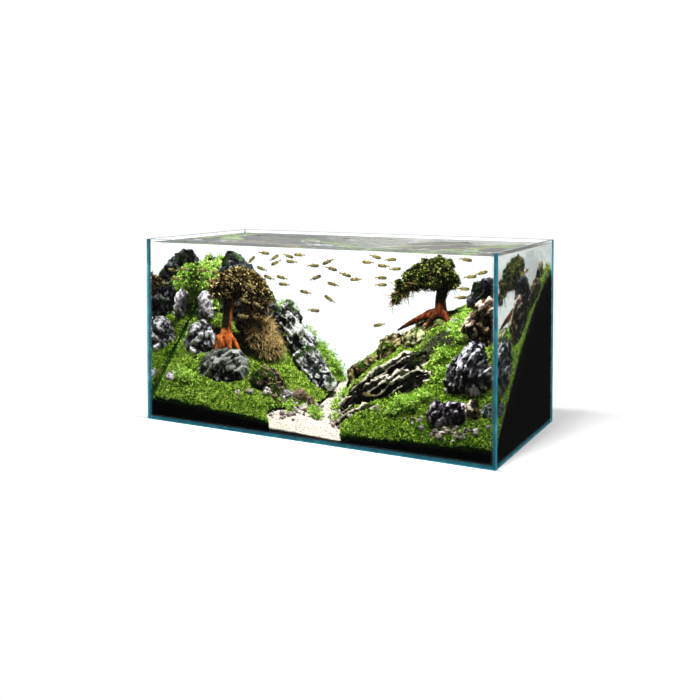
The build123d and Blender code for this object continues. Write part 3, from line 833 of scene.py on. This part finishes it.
def broken(co, no, size, seed, tilt=0.22, most=7):
    """The points pulled, by most at most, onto flat faces about size across, and a number for each face."""
    rng = np.random.default_rng(seed)
    reach = np.ptp(co, axis=0)
    area = 2 * (reach[0] * reach[1] + reach[1] * reach[2] + reach[2] * reach[0])
    count = int(np.clip(area / (size * MM) ** 2, 10, 260))
    spots = co[rng.choice(len(co), count, replace=False)]
    bent = co + np.stack([noise(co, size * 0.4, seed + k) for k in (1, 2, 3)], axis=1) * (size * MM) * 0.14
    face = np.argmin(((bent[:, None] - spots[None]) ** 2).sum(axis=2), axis=1)
    held = np.maximum(np.bincount(face, minlength=count), 1)[:, None]
    middle = np.stack([np.bincount(face, co[:, k], count) for k in range(3)], axis=1) / held
    facing = np.stack([np.bincount(face, no[:, k], count) for k in range(3)], axis=1) / held
    facing = unit(facing + rng.normal(size=facing.shape) * tilt)[face]
    move = ((middle[face] - co) * facing).sum(axis=1)
    return co + facing * np.clip(move, -most * MM, most * MM)[:, None], rng.random(count)[face]


def build_stone(name, looks, seed):
    """A stone of layered rock, with moss leaves where moss grows on it."""
    rock, *shape = STONES[name]
    _, _, _, _, leafy, paler = ROCKS[rock]
    co, no, quads = remeshed(name, voxel=2.2 * MM, smooth=1)
    height, pale, ridge = carve(co, *shape, seed)
    chipped, tone = broken(co, no, FACE_SIZE.get(name, 26), seed + 5)
    if rock == "striped_slab":
        end = co[:, 0].max() - 50 * MM
        worn = np.clip((co[:, 0] - end + noise(co, 14, seed) * 16 * MM) / (22 * MM), 0, 1)
        pale = 0.10 + ridge * 0.75 + (pale - 0.3) * (0.25 + worn * 1.1) + (tone - 0.5) * 0.12 + worn * 0.30
    elif rock == "grey_layered":
        pale = pale + (tone - 0.5) * 0.45
    else:
        chipped, chip_tone = broken(chipped, no, 9, seed + 6, tilt=0.3, most=2.2)
        pale = pale + (tone - 0.5) * 0.22 + (chip_tone - 0.5) * 0.30
    pale = np.clip(pale + paler, 0, 1)
    if rock == "holey":
        holes = np.clip(noise(co, 17, 4) * 2.4 - 0.7, 0, 1)
        height -= holes * 9 * MM
        # Painted shade: the holes are darkened as well as cut in.
        pale = pale - holes * 0.7
    moved = inside(chipped + no * height[:, None])
    up = np.clip((no[:, 2] + 0.1) / 0.6, 0, 1)
    moss = up * np.clip(layers(co, 30, 3, seed + 21) * 3 + 0.2, 0, 1)
    rng = np.random.default_rng(seed)
    parts = [(moved, quads, 0)]
    if leafy:
        parts.append((*moss_leaves(co, moved, quads, moss, leafy, rng), 1))
    if rock == "straw_brown":
        parts.append((*straw(co, moved, quads, rng), 2))
    obj = piece(name + "_rock", name, [looks[rock], looks["moss_leaves"], looks["straw"]], parts)
    if name == "front_right_stones":
        tint_by_place(obj, co[quads].mean(axis=1)[:, 0], looks)
    # Stored for the rock's colour: its random tone, with painted shade in cracks and holes and painted
    # highlight on raised parts.
    store(obj, "tone_and_painted_shading", pale)
    store(obj, "moss", moss, rest=1.0)


def moss_leaves(co, moved, quads, moss, leafy, rng):
    """Leaves over the mossy faces of a stone."""
    thick = moss[quads].mean(axis=1)
    first, last = co[quads[:, 1]] - co[quads[:, 0]], co[quads[:, 3]] - co[quads[:, 0]]
    area = np.linalg.norm(np.cross(first, last), axis=1)
    count = int((thick > 0.5) @ area / (5 * MM) ** 2 * leafy * 2.2)
    points, facing = sampled(moved, quads, max(count, 4), rng, lambda c, n: thick > 0.5)
    return leaves(points, scatter(rng, facing, 0.7, 0.3), 4.2 * MM, 2.4 * MM, rng)


def straw(co, moved, quads, rng):
    """Dry fibres hanging over the right half of a stone."""
    half = np.median(co[:, 0]) - 15 * MM
    roots, facing = sampled(moved, quads, STRAW_FIBRES, rng, lambda c, n: (n[:, 2] > -0.2) & (c[:, 0] > half))
    fibres = twigs(rng, roots, scatter(rng, facing, 0.5, -1.1) + (0.3, 0, 0), 24 * MM, 0.25, 5)
    return strips(fibres, rng.uniform(0.5, 1.2, len(roots)) * MM)


def tint_by_place(obj, x, looks):
    """The third and the fourth of the front right stones are tan and slate. x is the middle of each face."""
    obj.data.materials.append(looks["tan"])
    obj.data.materials.append(looks["front_slate"])
    tan, slate = 3, 4
    numbers = np.zeros(len(obj.data.polygons), np.int32)
    obj.data.polygons.foreach_get("material_index", numbers)
    numbers[: len(x)] = np.where(x > SLATE_FROM, slate, np.where(x > TAN_FROM, tan, 0))
    obj.data.polygons.foreach_set("material_index", numbers)


def build_pebbles():
    for seed, name in enumerate(("left_pebbles", "right_pebbles")):
        co, no, quads = remeshed(name, voxel=1.3 * MM, smooth=1)
        spots = co[np.random.default_rng(56 + seed).choice(len(co), CHIPS)]
        co, _ = broken(co, no, 8, 54 + seed, tilt=0.35, most=3)
        flakes = layers(co * (1, 1, 0.7), 9, 3, 50 + seed, ridged=True)
        height = flakes * 1.5 * MM + layers(co, 15, 2, 52 + seed) * 2.4 * MM
        parts = [(co + no * height[:, None], quads, 0), (*chips(spots, np.random.default_rng(58 + seed)), 0)]
        obj = piece(name + "_stones", name, [pebble_look(name + "_look")], parts, smooth=False)
        # The raised flakes are stored pale and the low places dark, for painted highlight and shade.
        store(obj, "tone_and_painted_shading", np.clip(flakes * 0.5 + 0.5, 0, 1), rest=0.6)


def chips(spots, rng):
    """Chips of stone lying on the ground around these spots."""
    ground = BVHTree.FromPolygons(*soup("sand_path", "left_carpet", "right_carpet"))
    ball, faces = ball_mesh(1, 1)
    parts = []
    for spot in spots:
        x, y = spot[:2] + rng.normal(size=2) * 13 * MM
        hit = ground.ray_cast(Vector((x, y, RIM)), Vector((0, 0, -1)))[0]
        size = rng.choice([2.0, 3.2, 4.8, 7.0], p=[0.35, 0.35, 0.2, 0.1]) * MM
        shape = ball * rng.uniform(0.75, 1.2, (len(ball), 1)) * rng.uniform(0.6, 1.3, 3) * size
        turn = rng.uniform(0, 2 * math.pi)
        across, back = math.cos(turn), math.sin(turn)
        spun = shape @ np.array([[across, back, 0], [-back, across, 0], [0, 0, 1]])
        if hit is not None:
            parts.append((spun + np.array([x, y, hit.z + size * 0.3]), faces, 0))
    verts, groups = gathered(parts)
    return verts, np.concatenate([one for one, _ in groups])


def soup(*names):
    """Corners and faces of these nodes together."""
    verts, faces = [], []
    for name in names:
        start = len(verts)
        verts += [v.co[:] for v in NODES[name].data.vertices]
        faces += [[i + start for i in f.vertices] for f in NODES[name].data.polygons]
    return verts, faces


def ball_mesh(detail, radius):
    bm = bmesh.new()
    bmesh.ops.create_icosphere(bm, subdivisions=detail, radius=radius)
    verts = np.array([v.co[:] for v in bm.verts])
    faces = np.array([[v.index for v in f.verts] for f in bm.faces])
    bm.free()
    return verts, faces


# ---- the ground

SAND_GRAINS = 7600
CARPET_LEAVES = 62000
BARE_TO = INNER[0] + 8 * MM  # the soil shows along the left glass


def build_soil():
    look = soil_look()
    for name in ("left_soil", "right_soil"):
        plain(name, look)


def build_sand():
    """Rippled sand with loose grains on it, brown from its foot up along the front glass."""
    rng = np.random.default_rng(11)
    co, no, quads = remeshed("sand_path", voxel=2.6 * MM)
    height = layers(co, 30, 3, 31) * 2.2 * MM + layers(co, 5, 2, 32) * 0.5 * MM
    moved = inside(co + no * np.where(no[:, 2] > 0.5, height, 0)[:, None])
    points, _ = sampled(moved, quads, SAND_GRAINS, rng, lambda c, n: n[:, 2] > 0.5)
    loose, faces = grains(points, rng)
    everything = np.concatenate([moved, inside(loose)])
    front = everything[:, 1] < INNER_Y[0] + 5 * MM
    # Along the front glass the sand is brown from the floor up to this height.
    brown_line = FLOOR_TOP + (np.percentile(everything[front, 2], 90) - FLOOR_TOP) * 0.6
    looks = [sand_look(), grain_look()]
    obj = piece("sand_path_sand", "sand_path", looks, [(moved, quads, 0), (loose, faces, 1)])
    store(obj, "low", front * np.clip((brown_line - everything[:, 2]) / (4 * MM) + 0.5, 0, 0.92))


def grains(points, rng):
    """Small angular grains: eight-faced, each squashed and turned its own way."""
    shape = np.array([(1, 0, 0), (0, 1, 0), (-1, 0, 0), (0, -1, 0), (0, 0, 1), (0, 0, -1)], float)
    count = len(points)
    size = rng.choice([0.6, 0.9, 1.3, 1.9], count, p=[0.4, 0.3, 0.2, 0.1])[:, None, None] * MM
    stretch = rng.uniform(0.6, 1.3, (count, 6, 3))
    angle = rng.uniform(0, 2 * math.pi, count)
    turned = shape[None] * stretch
    x = turned[..., 0] * np.cos(angle)[:, None] - turned[..., 1] * np.sin(angle)[:, None]
    y = turned[..., 0] * np.sin(angle)[:, None] + turned[..., 1] * np.cos(angle)[:, None]
    verts = points[:, None] + np.stack([x, y, turned[..., 2]], axis=-1) * size
    one = np.array([(0, 1, 4), (1, 2, 4), (2, 3, 4), (3, 0, 4), (1, 0, 5), (2, 1, 5), (3, 2, 5), (0, 3, 5)])
    faces = (np.arange(count)[:, None, None] * 6 + one[None]).reshape(-1, 3)
    return verts.reshape(-1, 3), faces


def build_carpets():
    """Low plants: a dark lumpy mat, partly painted shade, under thousands of small leaves."""
    leaf = leaf_look(
        "carpet_leaves",
        (0.20, (0.010, 0.04, 0.003)), (0.40, (0.085, 0.22, 0.010)),
        (0.57, (0.38, 0.62, 0.040)), (0.81, (0.76, 0.92, 0.20)),
        fleck=1.1,
    )
    mat = tangle_look(
        "carpet_mat", (0.3, (0.001, 0.005, 0.0005)), (0.55, (0.012, 0.045, 0.003)), (0.8, (0.08, 0.18, 0.010))
    )
    for seed, name in enumerate(("left_carpet", "right_carpet")):
        rng = np.random.default_rng(21 + seed)
        co, no, quads = remeshed(name, voxel=4 * MM)
        lump = layers(co, 36, 3, 41 + seed) * 8.0 * MM
        lump = lump + layers(co, 10, 2, 44 + seed, ridged=True) * 4.6 * MM
        lump = np.where(co[:, 0] < BARE_TO, -12 * MM, lump)
        rise = np.clip(no[:, 2] * 2, 0, 1) * (lump - 2.5 * MM)
        moved = inside(co + np.array([0, 0, 1]) * rise[:, None], 0.6 * MM)
        points, facing = sampled(
            moved, quads, CARPET_LEAVES, rng, lambda c, n: (n[:, 2] > 0.15) & (c[:, 0] > BARE_TO)
        )
        leaf_co, leaf_faces = leaves(points, scatter(rng, facing, 0.8, 0.3), 4.2 * MM, 3.0 * MM, rng)
        piece(name + "_plants", name, [mat, leaf], [(moved, quads, 0), (leaf_co, leaf_faces, 1)])


# ---- trees

LEFT_FOOT, RIGHT_FOOT = 0.214, 0.286  # how high the roots of each tree lie
TO_THE_RIGHT = (0.88, 0.47)  # the way across, seen from the front right
CROWN_LEAVES, CROWN_STEMS, HANGING_TWIGS = 15000, 520, 110


def build_trunks():
    """Dark driftwood with red roots. A strip of red also runs up the right side of the left trunk."""
    dark = (0.25, (0.0015, 0.001, 0.001)), (0.5, (0.004, 0.003, 0.002)), (0.8, (0.014, 0.008, 0.005))
    left_fresh = (
        (0.3, (0.02, 0.004, 0.002)), (0.48, (0.15, 0.025, 0.007)),
        (0.65, (0.36, 0.085, 0.02)), (0.88, (0.66, 0.28, 0.08)),
    )
    right_fresh = (
        (0.3, (0.006, 0.002, 0.001)), (0.5, (0.060, 0.010, 0.004)),
        (0.7, (0.22, 0.045, 0.015)), (0.92, (0.50, 0.20, 0.07)),
    )
    left = wood_look("left_driftwood_bark", *dark, fresh=left_fresh)
    right = wood_look("right_driftwood_bark", *dark, fresh=right_fresh)
    build_trunk("left_trunk", left, LEFT_FOOT, left_strip)
    build_trunk("right_trunk", right, RIGHT_FOOT, right_patches)


def build_trunk(name, look, foot, change):
    co, no, quads = remeshed(name, voxel=1.5 * MM, smooth=4)
    fibre = layers(co * (1, 1, 0.28), 9, 3, 61, ridged=True)
    height = fibre * 1.8 * MM + layers(co, 24, 2, 62) * 2.6 * MM
    obj = piece(name + "_wood", name, [look], [(co + no * height[:, None], quads, 0)])
    low = np.clip((foot + 12 * MM - co[:, 2] + noise(co, 16, 63) * 9 * MM) / (14 * MM), 0, 1)
    # The fibre term paints the fresh red darker in the grooves as shade; the stored level below paints
    # grooves dark and raised fibres pale, as shade and highlight.
    tone = low * np.clip(0.45 + noise(co, 16, 64) * 0.7 + fibre * 0.9, 0.0, 1)
    store(obj, "tone_and_painted_shading", np.clip(fibre * 0.5 + 0.5, 0, 1))
    store(obj, "tone", change(tone, co))


def left_strip(tone, co):
    """Fresh wood up the right side as well, found from the middle of the trunk at each height."""
    band = np.clip(((co[:, 2] - LEFT_FOOT) / (12 * MM)).astype(int), 0, 30)
    held = np.maximum(np.bincount(band), 1)
    off = [co[:, k] - (np.bincount(band, co[:, k]) / held)[band] for k in range(2)]
    across = off[0] * TO_THE_RIGHT[0] + off[1] * TO_THE_RIGHT[1]
    side = np.clip((across - 4 * MM + noise(co, 20, 65) * 2 * MM) / (3 * MM), 0, 1)
    return np.maximum(tone, side * 0.8)


def right_patches(tone, co):
    """Fresh wood in patches only, and hardly any at the tips of the left roots."""
    tone = tone * np.clip(0.55 + noise(co, 13, 66) * 1.3, 0, 1)
    return tone * np.clip((co[:, 0] - co[:, 0].min()) / (80 * MM), 0.2, 1)


def build_crowns():
    """A dark tangle cut into clumps, its darkness partly painted shade, with leaves, short leafy stems and
    long twigs that hang below.
    """
    leaf_left = leaf_look(
        "left_crown_leaves",
        (0.25, (0.002, 0.0018, 0.001)), (0.5, (0.018, 0.014, 0.004)),
        (0.66, (0.13, 0.095, 0.022)), (0.85, (0.78, 0.58, 0.24)),
        glow=0.0, patch=0.8,
    )
    leaf_right = leaf_look(
        "right_crown_leaves",
        (0.25, (0.002, 0.004, 0.001)), (0.5, (0.012, 0.026, 0.005)),
        (0.68, (0.06, 0.11, 0.015)), (0.88, (0.46, 0.48, 0.10)),
        glow=0.0, patch=0.8,
    )
    twig = wood_look(
        "twigs", (0.3, (0.02, 0.010, 0.004)), (0.55, (0.22, 0.12, 0.05)), (0.9, (0.55, 0.38, 0.20))
    )
    core = tangle_look(
        "crown_core",
        (0.25, (0.001, 0.001, 0.0005)), (0.5, (0.008, 0.007, 0.002)), (0.8, (0.04, 0.032, 0.008)),
    )
    crowns = ("left_crown", leaf_left, 0.5), ("right_crown", leaf_right, -0.9)
    for seed, (name, leaf, lean) in enumerate(crowns):
        rng = np.random.default_rng(71 + seed)
        co, no, quads = remeshed(name, voxel=2.6 * MM, smooth=3)
        clumps = crack(co, 26, 75 + seed)
        lump = layers(co, 30, 3, 73 + seed) * 7 * MM + (np.clip(clumps / 0.5, 0, 1) - 0.8) * 15 * MM
        moved = inside(co + no * lump[:, None])
        points, facing = sampled(moved, quads, CROWN_LEAVES, rng)
        leaf_co, leaf_faces = leaves(points, scatter(rng, facing, 0.8), 7.0 * MM, 3.8 * MM, rng, droop=0.2)
        starts, out = sampled(moved, quads, CROWN_STEMS, rng)
        paths = twigs(rng, starts - out * 3 * MM, scatter(rng, out, 0.7, -0.2), 20 * MM, 0.5)
        stem_co, stem_faces = strips(paths, np.full(len(paths), 0.6 * MM))
        tips = paths[:, 1:].reshape(-1, 3)
        more_co, more_faces = leaves(tips, rng.normal(size=tips.shape), 4 * MM, 2.4 * MM, rng)
        hang_co, hang_faces = strips(*hanging(rng, moved, no, lean))
        obj = piece(name + "_foliage", name, [core, leaf, twig], [
            (moved, quads, 0), (leaf_co, leaf_faces, 1), (stem_co, stem_faces, 2),
            (more_co, more_faces, 1), (hang_co, hang_faces, 2),
        ])
        store(obj, "tone_and_painted_shading", [], rest=0.5)


def hanging(rng, co, no, lean):
    """Paths and thicknesses of long bare twigs under a crown, which lean one way along X."""
    low = np.percentile(co[:, 2], 30)
    under = np.flatnonzero((co[:, 2] < low) & (no[:, 2] < 0.2))
    starts = co[rng.choice(under, HANGING_TWIGS)]
    out = rng.normal(size=starts.shape) * 0.45 + np.array([lean, 0, -0.45])
    return twigs(rng, starts, out, 42 * MM, 0.22, 6), rng.uniform(0.7, 1.6, len(starts)) * MM


# ---- plants

MOSS_STRANDS = 900

def build_bush(name, leaf, mat, seed, count, length, width, droop, shrink, reach=2.2):
    """Leafy stems out of a dark lumpy inside, its darkness partly painted shade, which lies shrink
    millimetres below the CAD's mound.
    """
    rng = np.random.default_rng(seed)
    co, no, quads = remeshed(name, voxel=2.6 * MM, smooth=2)
    lump = layers(co, 16, 3, seed) * 5 * MM - shrink * MM
    moved = inside(co + no * lump[:, None])
    points, facing = sampled(moved, quads, count // 12, rng)
    long = reach * shrink * MM + 8 * MM
    paths = twigs(rng, points - facing * 3 * MM, scatter(rng, facing, 0.45, 0.5), long, 0.2, 7)
    stem_co, stem_faces = strips(paths, np.full(len(paths), 0.5 * MM))
    nodes = np.repeat(paths[:, 1:].reshape(-1, 3), 2, axis=0)
    out = np.repeat(np.repeat(facing, 6, axis=0), 2, axis=0)
    heading = scatter(rng, out, 0.9, 0.5)
    leaf_co, leaf_faces = leaves(nodes, heading, length * MM, width * MM, rng, droop=droop)
    parts = [(moved, quads, 0), (leaf_co, leaf_faces, 1), (stem_co, stem_faces, 1)]
    piece(name + "_leaves", name, [mat, leaf], parts)


def build_plants():
    bright = leaf_look(
        "bright_leaves",
        (0.10, (0.02, 0.10, 0.006)), (0.30, (0.16, 0.42, 0.02)),
        (0.52, (0.46, 0.76, 0.08)), (0.8, (0.78, 0.95, 0.28)),
    )
    yellow = leaf_look(
        "yellow_green_leaves",
        (0.12, (0.04, 0.15, 0.01)), (0.38, (0.20, 0.46, 0.03)),
        (0.62, (0.44, 0.74, 0.08)), (0.9, (0.74, 0.92, 0.24)),
    )
    mat = tangle_look(
        "bush_core", (0.25, (0.006, 0.016, 0.002)), (0.5, (0.03, 0.07, 0.008)), (0.75, (0.10, 0.18, 0.02))
    )
    build_bush("stem_plants", bright, mat, 81, 14000, 7, 4, droop=0.25, shrink=11, reach=0.8)
    build_bush("ridge_tufts", yellow, mat, 82, 9000, 7, 2.0, droop=0.3, shrink=7)
    build_bush("front_tufts", bright, mat, 83, 6000, 6, 2.6, droop=0.15, shrink=5)
    build_bush("right_tufts", bright, mat, 84, 16000, 6, 2.6, droop=0.15, shrink=6)


def build_weeping_moss():
    rng = np.random.default_rng(91)
    leaf = leaf_look(
        "weeping_moss_leaves",
        (0.1, (0.006, 0.010, 0.003)), (0.4, (0.03, 0.042, 0.012)),
        (0.65, (0.10, 0.12, 0.05)), (0.92, (0.30, 0.32, 0.18)),
        glow=0.05,
    )
    core = tangle_look(
        "weeping_moss_core",
        (0.25, (0.003, 0.004, 0.002)), (0.5, (0.02, 0.026, 0.010)), (0.8, (0.08, 0.09, 0.04)),
    )
    co, no, quads = remeshed("weeping_moss", voxel=2.6 * MM, smooth=2)
    lump = layers(co * (1, 1, 0.35), 11, 3, 92, ridged=True) * 4 * MM - 2 * MM
    moved = inside(co + no * lump[:, None])
    points, facing = sampled(moved, quads, MOSS_STRANDS, rng)
    paths = twigs(rng, points, scatter(rng, facing, 0.3, -1.4), 26 * MM, 0.18, 6)
    anchors = np.repeat(paths.reshape(-1, 3), 2, axis=0)
    heading = rng.normal(size=anchors.shape) * 0.6 + (0, 0, -0.8)
    leaf_co, leaf_faces = leaves(anchors, heading, 3.6 * MM, 1.6 * MM, rng)
    piece("weeping_moss_curtain", "weeping_moss", [core, leaf], [(moved, quads, 0), (leaf_co, leaf_faces, 1)])


# ---- fish

HEADINGS = {1: -1, 2: 1, 3: -1, 4: 1, 5: -1, 6: 1, 7: -1, 8: 1, 9: 1}  # which way each shoal faces along X
# Outlines of the tail, the back, the belly and the breast fin, in shares of the fish's length.
FINS = [
    [(-0.30, 0.030), (-0.40, 0.075), (-0.50, 0.125), (-0.455, 0.055), (-0.43, 0.0), (-0.455, -0.055),
     (-0.50, -0.125), (-0.40, -0.075), (-0.30, -0.030)],
    [(0.03, 0.115), (0.0, 0.185), (-0.05, 0.17), (-0.11, 0.10), (-0.04, 0.105)],
    [(-0.04, -0.10), (-0.08, -0.165), (-0.13, -0.15), (-0.22, -0.07), (-0.12, -0.085)],
    [(0.10, -0.12), (0.06, -0.165), (0.03, -0.15), (0.05, -0.115)],
]


def islands(mesh):
    """The corners of each loose part."""
    bm = bmesh.new()
    bm.from_mesh(mesh)
    bmesh.ops.remove_doubles(bm, verts=bm.verts, dist=1e-6)
    left, found = set(bm.verts), []
    while left:
        part, edge = set(), [left.pop()]
        while edge:
            vert = edge.pop()
            part.add(vert)
            for link in vert.link_edges:
                other = link.other_vert(vert)
                if other in left:
                    left.remove(other)
                    edge.append(other)
        found.append(np.array([v.co[:] for v in part]))
    bm.free()
    return sorted(found, key=lambda part: tuple(part.mean(axis=0).round(4)))


def fish_body():
    """A body along X, nose forward, in shares of its length, and how high and far back each corner is."""
    stations, sides = 19, 14
    verts, rise, along, quads, tris = [], [], [], [], []
    for number in range(stations):
        t = number / (stations - 1)
        x = 0.5 - 0.83 * t
        full = math.sin(math.pi * min(1, (t * 0.97 + 0.03)) ** 0.62) ** 0.8
        height = max(0.012, 0.135 * full * (1 - 0.15 * t) + 0.022 * t)
        thick = max(0.008, 0.072 * full * (1 - 0.35 * t) + 0.006 * t)
        for corner in range(sides):
            angle = 2 * math.pi * corner / sides
            verts.append((x, thick * math.cos(angle), height * math.sin(angle)))
            rise.append(math.sin(angle) * 0.5 + 0.5)
            along.append(t * 0.85)
    for ring in range(stations - 1):
        for corner in range(sides):
            a, b = ring * sides + corner, ring * sides + (corner + 1) % sides
            quads.append((a, a + sides, b + sides, b))
    for start, out, back in ((0, 0.008, 0.0), ((stations - 1) * sides, -0.004, 0.85)):
        centre = len(verts)
        verts.append((verts[start][0] + out, 0, 0))
        rise.append(0.5)
        along.append(back)
        for corner in range(sides):
            a, b = start + corner, start + (corner + 1) % sides
            tris.append((a, b, centre) if start == 0 else (b, a, centre))
    return np.array(verts), (quads, tris), np.array(rise), np.array(along)


def fin_mesh(outline):
    """A thin closed fin in the XZ plane."""
    count = len(outline)
    verts = [(x, side * 0.006, z) for side in (1, -1) for x, z in outline]
    middle = np.array(outline).mean(axis=0)
    verts += [(middle[0], 0.010, middle[1]), (middle[0], -0.010, middle[1])]
    faces = []
    for i in range(count):
        j = (i + 1) % count
        faces.append((i, j, 2 * count))
        faces.append((count + j, count + i, 2 * count + 1))
        faces.append((j, i, count + i))
        faces.append((j, count + i, count + j))
    return np.array(verts), np.array(faces)


def fish_parts():
    """The parts of one fish: corners, faces, material number, how high and how far back."""
    body, faces, rise, along = fish_body()
    parts = [(body, faces, 0, rise, along)]
    for outline in FINS:
        co, faces = fin_mesh(outline)
        parts.append((co, faces, 1, np.full(len(co), 0.4), np.full(len(co), 0.9)))
    for side in (-1, 1):
        co, faces = ball_mesh(2, 0.021)
        co = co * (1, 0.6, 1) + (0.40, side * 0.043, 0.022)
        parts.append((co, faces, 2, np.full(len(co), 0.5), np.full(len(co), 0.1)))
    return parts


def build_fish():
    """A fish in the place of each solid of each shoal, bent a little its own way."""
    looks = [fish_look(), fin_look(), eye_look()]
    shape = fish_parts()
    rng = np.random.default_rng(101)
    for number, heading in HEADINGS.items():
        node = f"fish_shoal_{number}"
        parts = []
        for cloud in islands(NODES[node].data):
            middle = cloud.mean(axis=0)
            _, _, axes = np.linalg.svd(cloud - middle)
            nose = axes[0] * (1 if axes[0][0] * heading > 0 else -1)
            side = np.array([0, heading, 0.0])
            turn = np.stack([nose, side, np.cross(nose, side)])
            local = (cloud - middle) @ turn.T
            centre = middle + ((local.min(axis=0) + local.max(axis=0)) / 2) @ turn
            bend = rng.uniform(-0.10, 0.10)
            size = np.ptp(local[:, 0]) * rng.uniform(0.97, 1.0)
            for co, faces, material, rise, along in shape:
                curved = co.copy()
                curved[:, 1] += bend * np.clip(0.1 - co[:, 0], 0, 1) ** 2
                parts.append((centre + (curved * size) @ turn, faces, material, rise, along))
        obj = piece(node + "_fish", node, looks, [part[:3] for part in parts], body=node)
        store(obj, "rise", np.concatenate([part[3] for part in parts]))
        store(obj, "along", np.concatenate([part[4] for part in parts]))


# ---- the studio

SURROUND = 1.0  # how bright the surround is as the camera sees it
BEHIND = 1.42  # and through the tank, which takes some of its light
FILL = 0.10  # what it lights surfaces with
MIRRORED = 0.02  # what the panes mirror
MIRRORED_ABOVE = 0.50  # what the water mirrors
MIRRORED_INSIDE = 4.5  # a mirrored ray that went through more faces than this has crossed the water
LAMP_PLACE, LAMP_SIZE, LAMP_TILT, LAMP_POWER = (0.10, -0.22, 1.25), (0.55, 0.22), -10, 54
CAMERA_PLACE, CAMERA_DOWN, CAMERA_TURN = (1.0570, -2.1131, 0.6144), 1.72, 28.02
CAMERA_LENS, CAMERA_SHIFT = 49.22, (0.0357, -0.2124)


def studio_light(tree):
    """A white surround behind the glass, a low fill on surfaces, and little for the panes to mirror."""
    light = Nodes(tree)
    ray = light.add("LightPath").outputs

    def mixed(share, low, high):
        node = light.add("Mix")
        for index, value in ((0, share), (2, low), (3, high)):
            light.put(node, index, value)
        return node.outputs[0]

    split = light.add("SeparateXYZ")
    light.put(split, 0, light.add("TexCoord").outputs["Generated"])
    rise = light.add("MapRange")
    light.put(rise, "From Max", 0.02)
    light.put(rise, "Value", split.outputs["Z"])
    overhead = mixed(rise.outputs[0], MIRRORED, MIRRORED_ABOVE)
    crossed = light.math("GREATER_THAN", ray["Transmission Depth"], MIRRORED_INSIDE)
    was_mirrored = light.math("GREATER_THAN", ray["Glossy Depth"], 0.5)
    left = mixed(was_mirrored, BEHIND, mixed(crossed, overhead, BEHIND))
    mirrored = mixed(ray["Is Glossy Ray"], FILL, overhead)
    through = mixed(ray["Is Transmission Ray"], mirrored, left)
    background = tree.nodes["Background"]
    light.put(background, 0, (1, 1, 1, 1))
    light.put(background, 1, mixed(ray["Is Camera Ray"], through, SURROUND))


def build_studio():
    scene = bpy.context.scene
    scene.view_settings.view_transform = "Standard"
    scene.cycles.max_bounces = 20
    scene.cycles.transmission_bounces = 16
    scene.cycles.transparent_max_bounces = 32
    scene.cycles.glossy_bounces = 6
    scene.cycles.diffuse_bounces = 3
    scene.cycles.caustics_reflective = scene.cycles.caustics_refractive = False
    scene.cycles.sample_clamp_indirect = 6.0
    scene.world = bpy.data.worlds.new("studio")
    scene.world.use_nodes = True
    studio_light(scene.world.node_tree)

    bm = bmesh.new()
    bmesh.ops.create_grid(bm, x_segments=24, y_segments=24, size=6)
    mesh = bpy.data.meshes.new("studio_floor")
    bm.to_mesh(mesh)
    bm.free()
    mesh.materials.append(floor_look())
    floor = in_scene("studio_floor", mesh)
    floor.visible_glossy = False
    floor.visible_transmission = False

    lamp = bpy.data.lights.new("tank_lamp", "AREA")
    lamp.shape = "RECTANGLE"
    lamp.size, lamp.size_y = LAMP_SIZE
    lamp.energy = LAMP_POWER
    lamp_object = in_scene("tank_lamp", lamp)
    lamp_object.location = LAMP_PLACE
    lamp_object.rotation_euler = (math.radians(LAMP_TILT), 0, 0)
    lamp_object.visible_glossy = False

    camera = bpy.data.cameras.new("camera")
    camera.lens = CAMERA_LENS
    camera.sensor_width = 36
    camera.shift_x, camera.shift_y = CAMERA_SHIFT
    camera_object = in_scene("camera", camera)
    camera_object.location = CAMERA_PLACE
    camera_object.rotation_euler = (math.radians(90 - CAMERA_DOWN), 0, math.radians(CAMERA_TURN))
    scene.camera = camera_object


build_studio()
build_glass()
build_water()
build_soil()
build_sand()
rock_looks = stone_looks()
for number, stone_name in enumerate(STONES):
    build_stone(stone_name, rock_looks, 200 + 31 * number)
build_pebbles()
build_carpets()
build_trunks()
build_crowns()
build_plants()
build_weeping_moss()
build_fish()
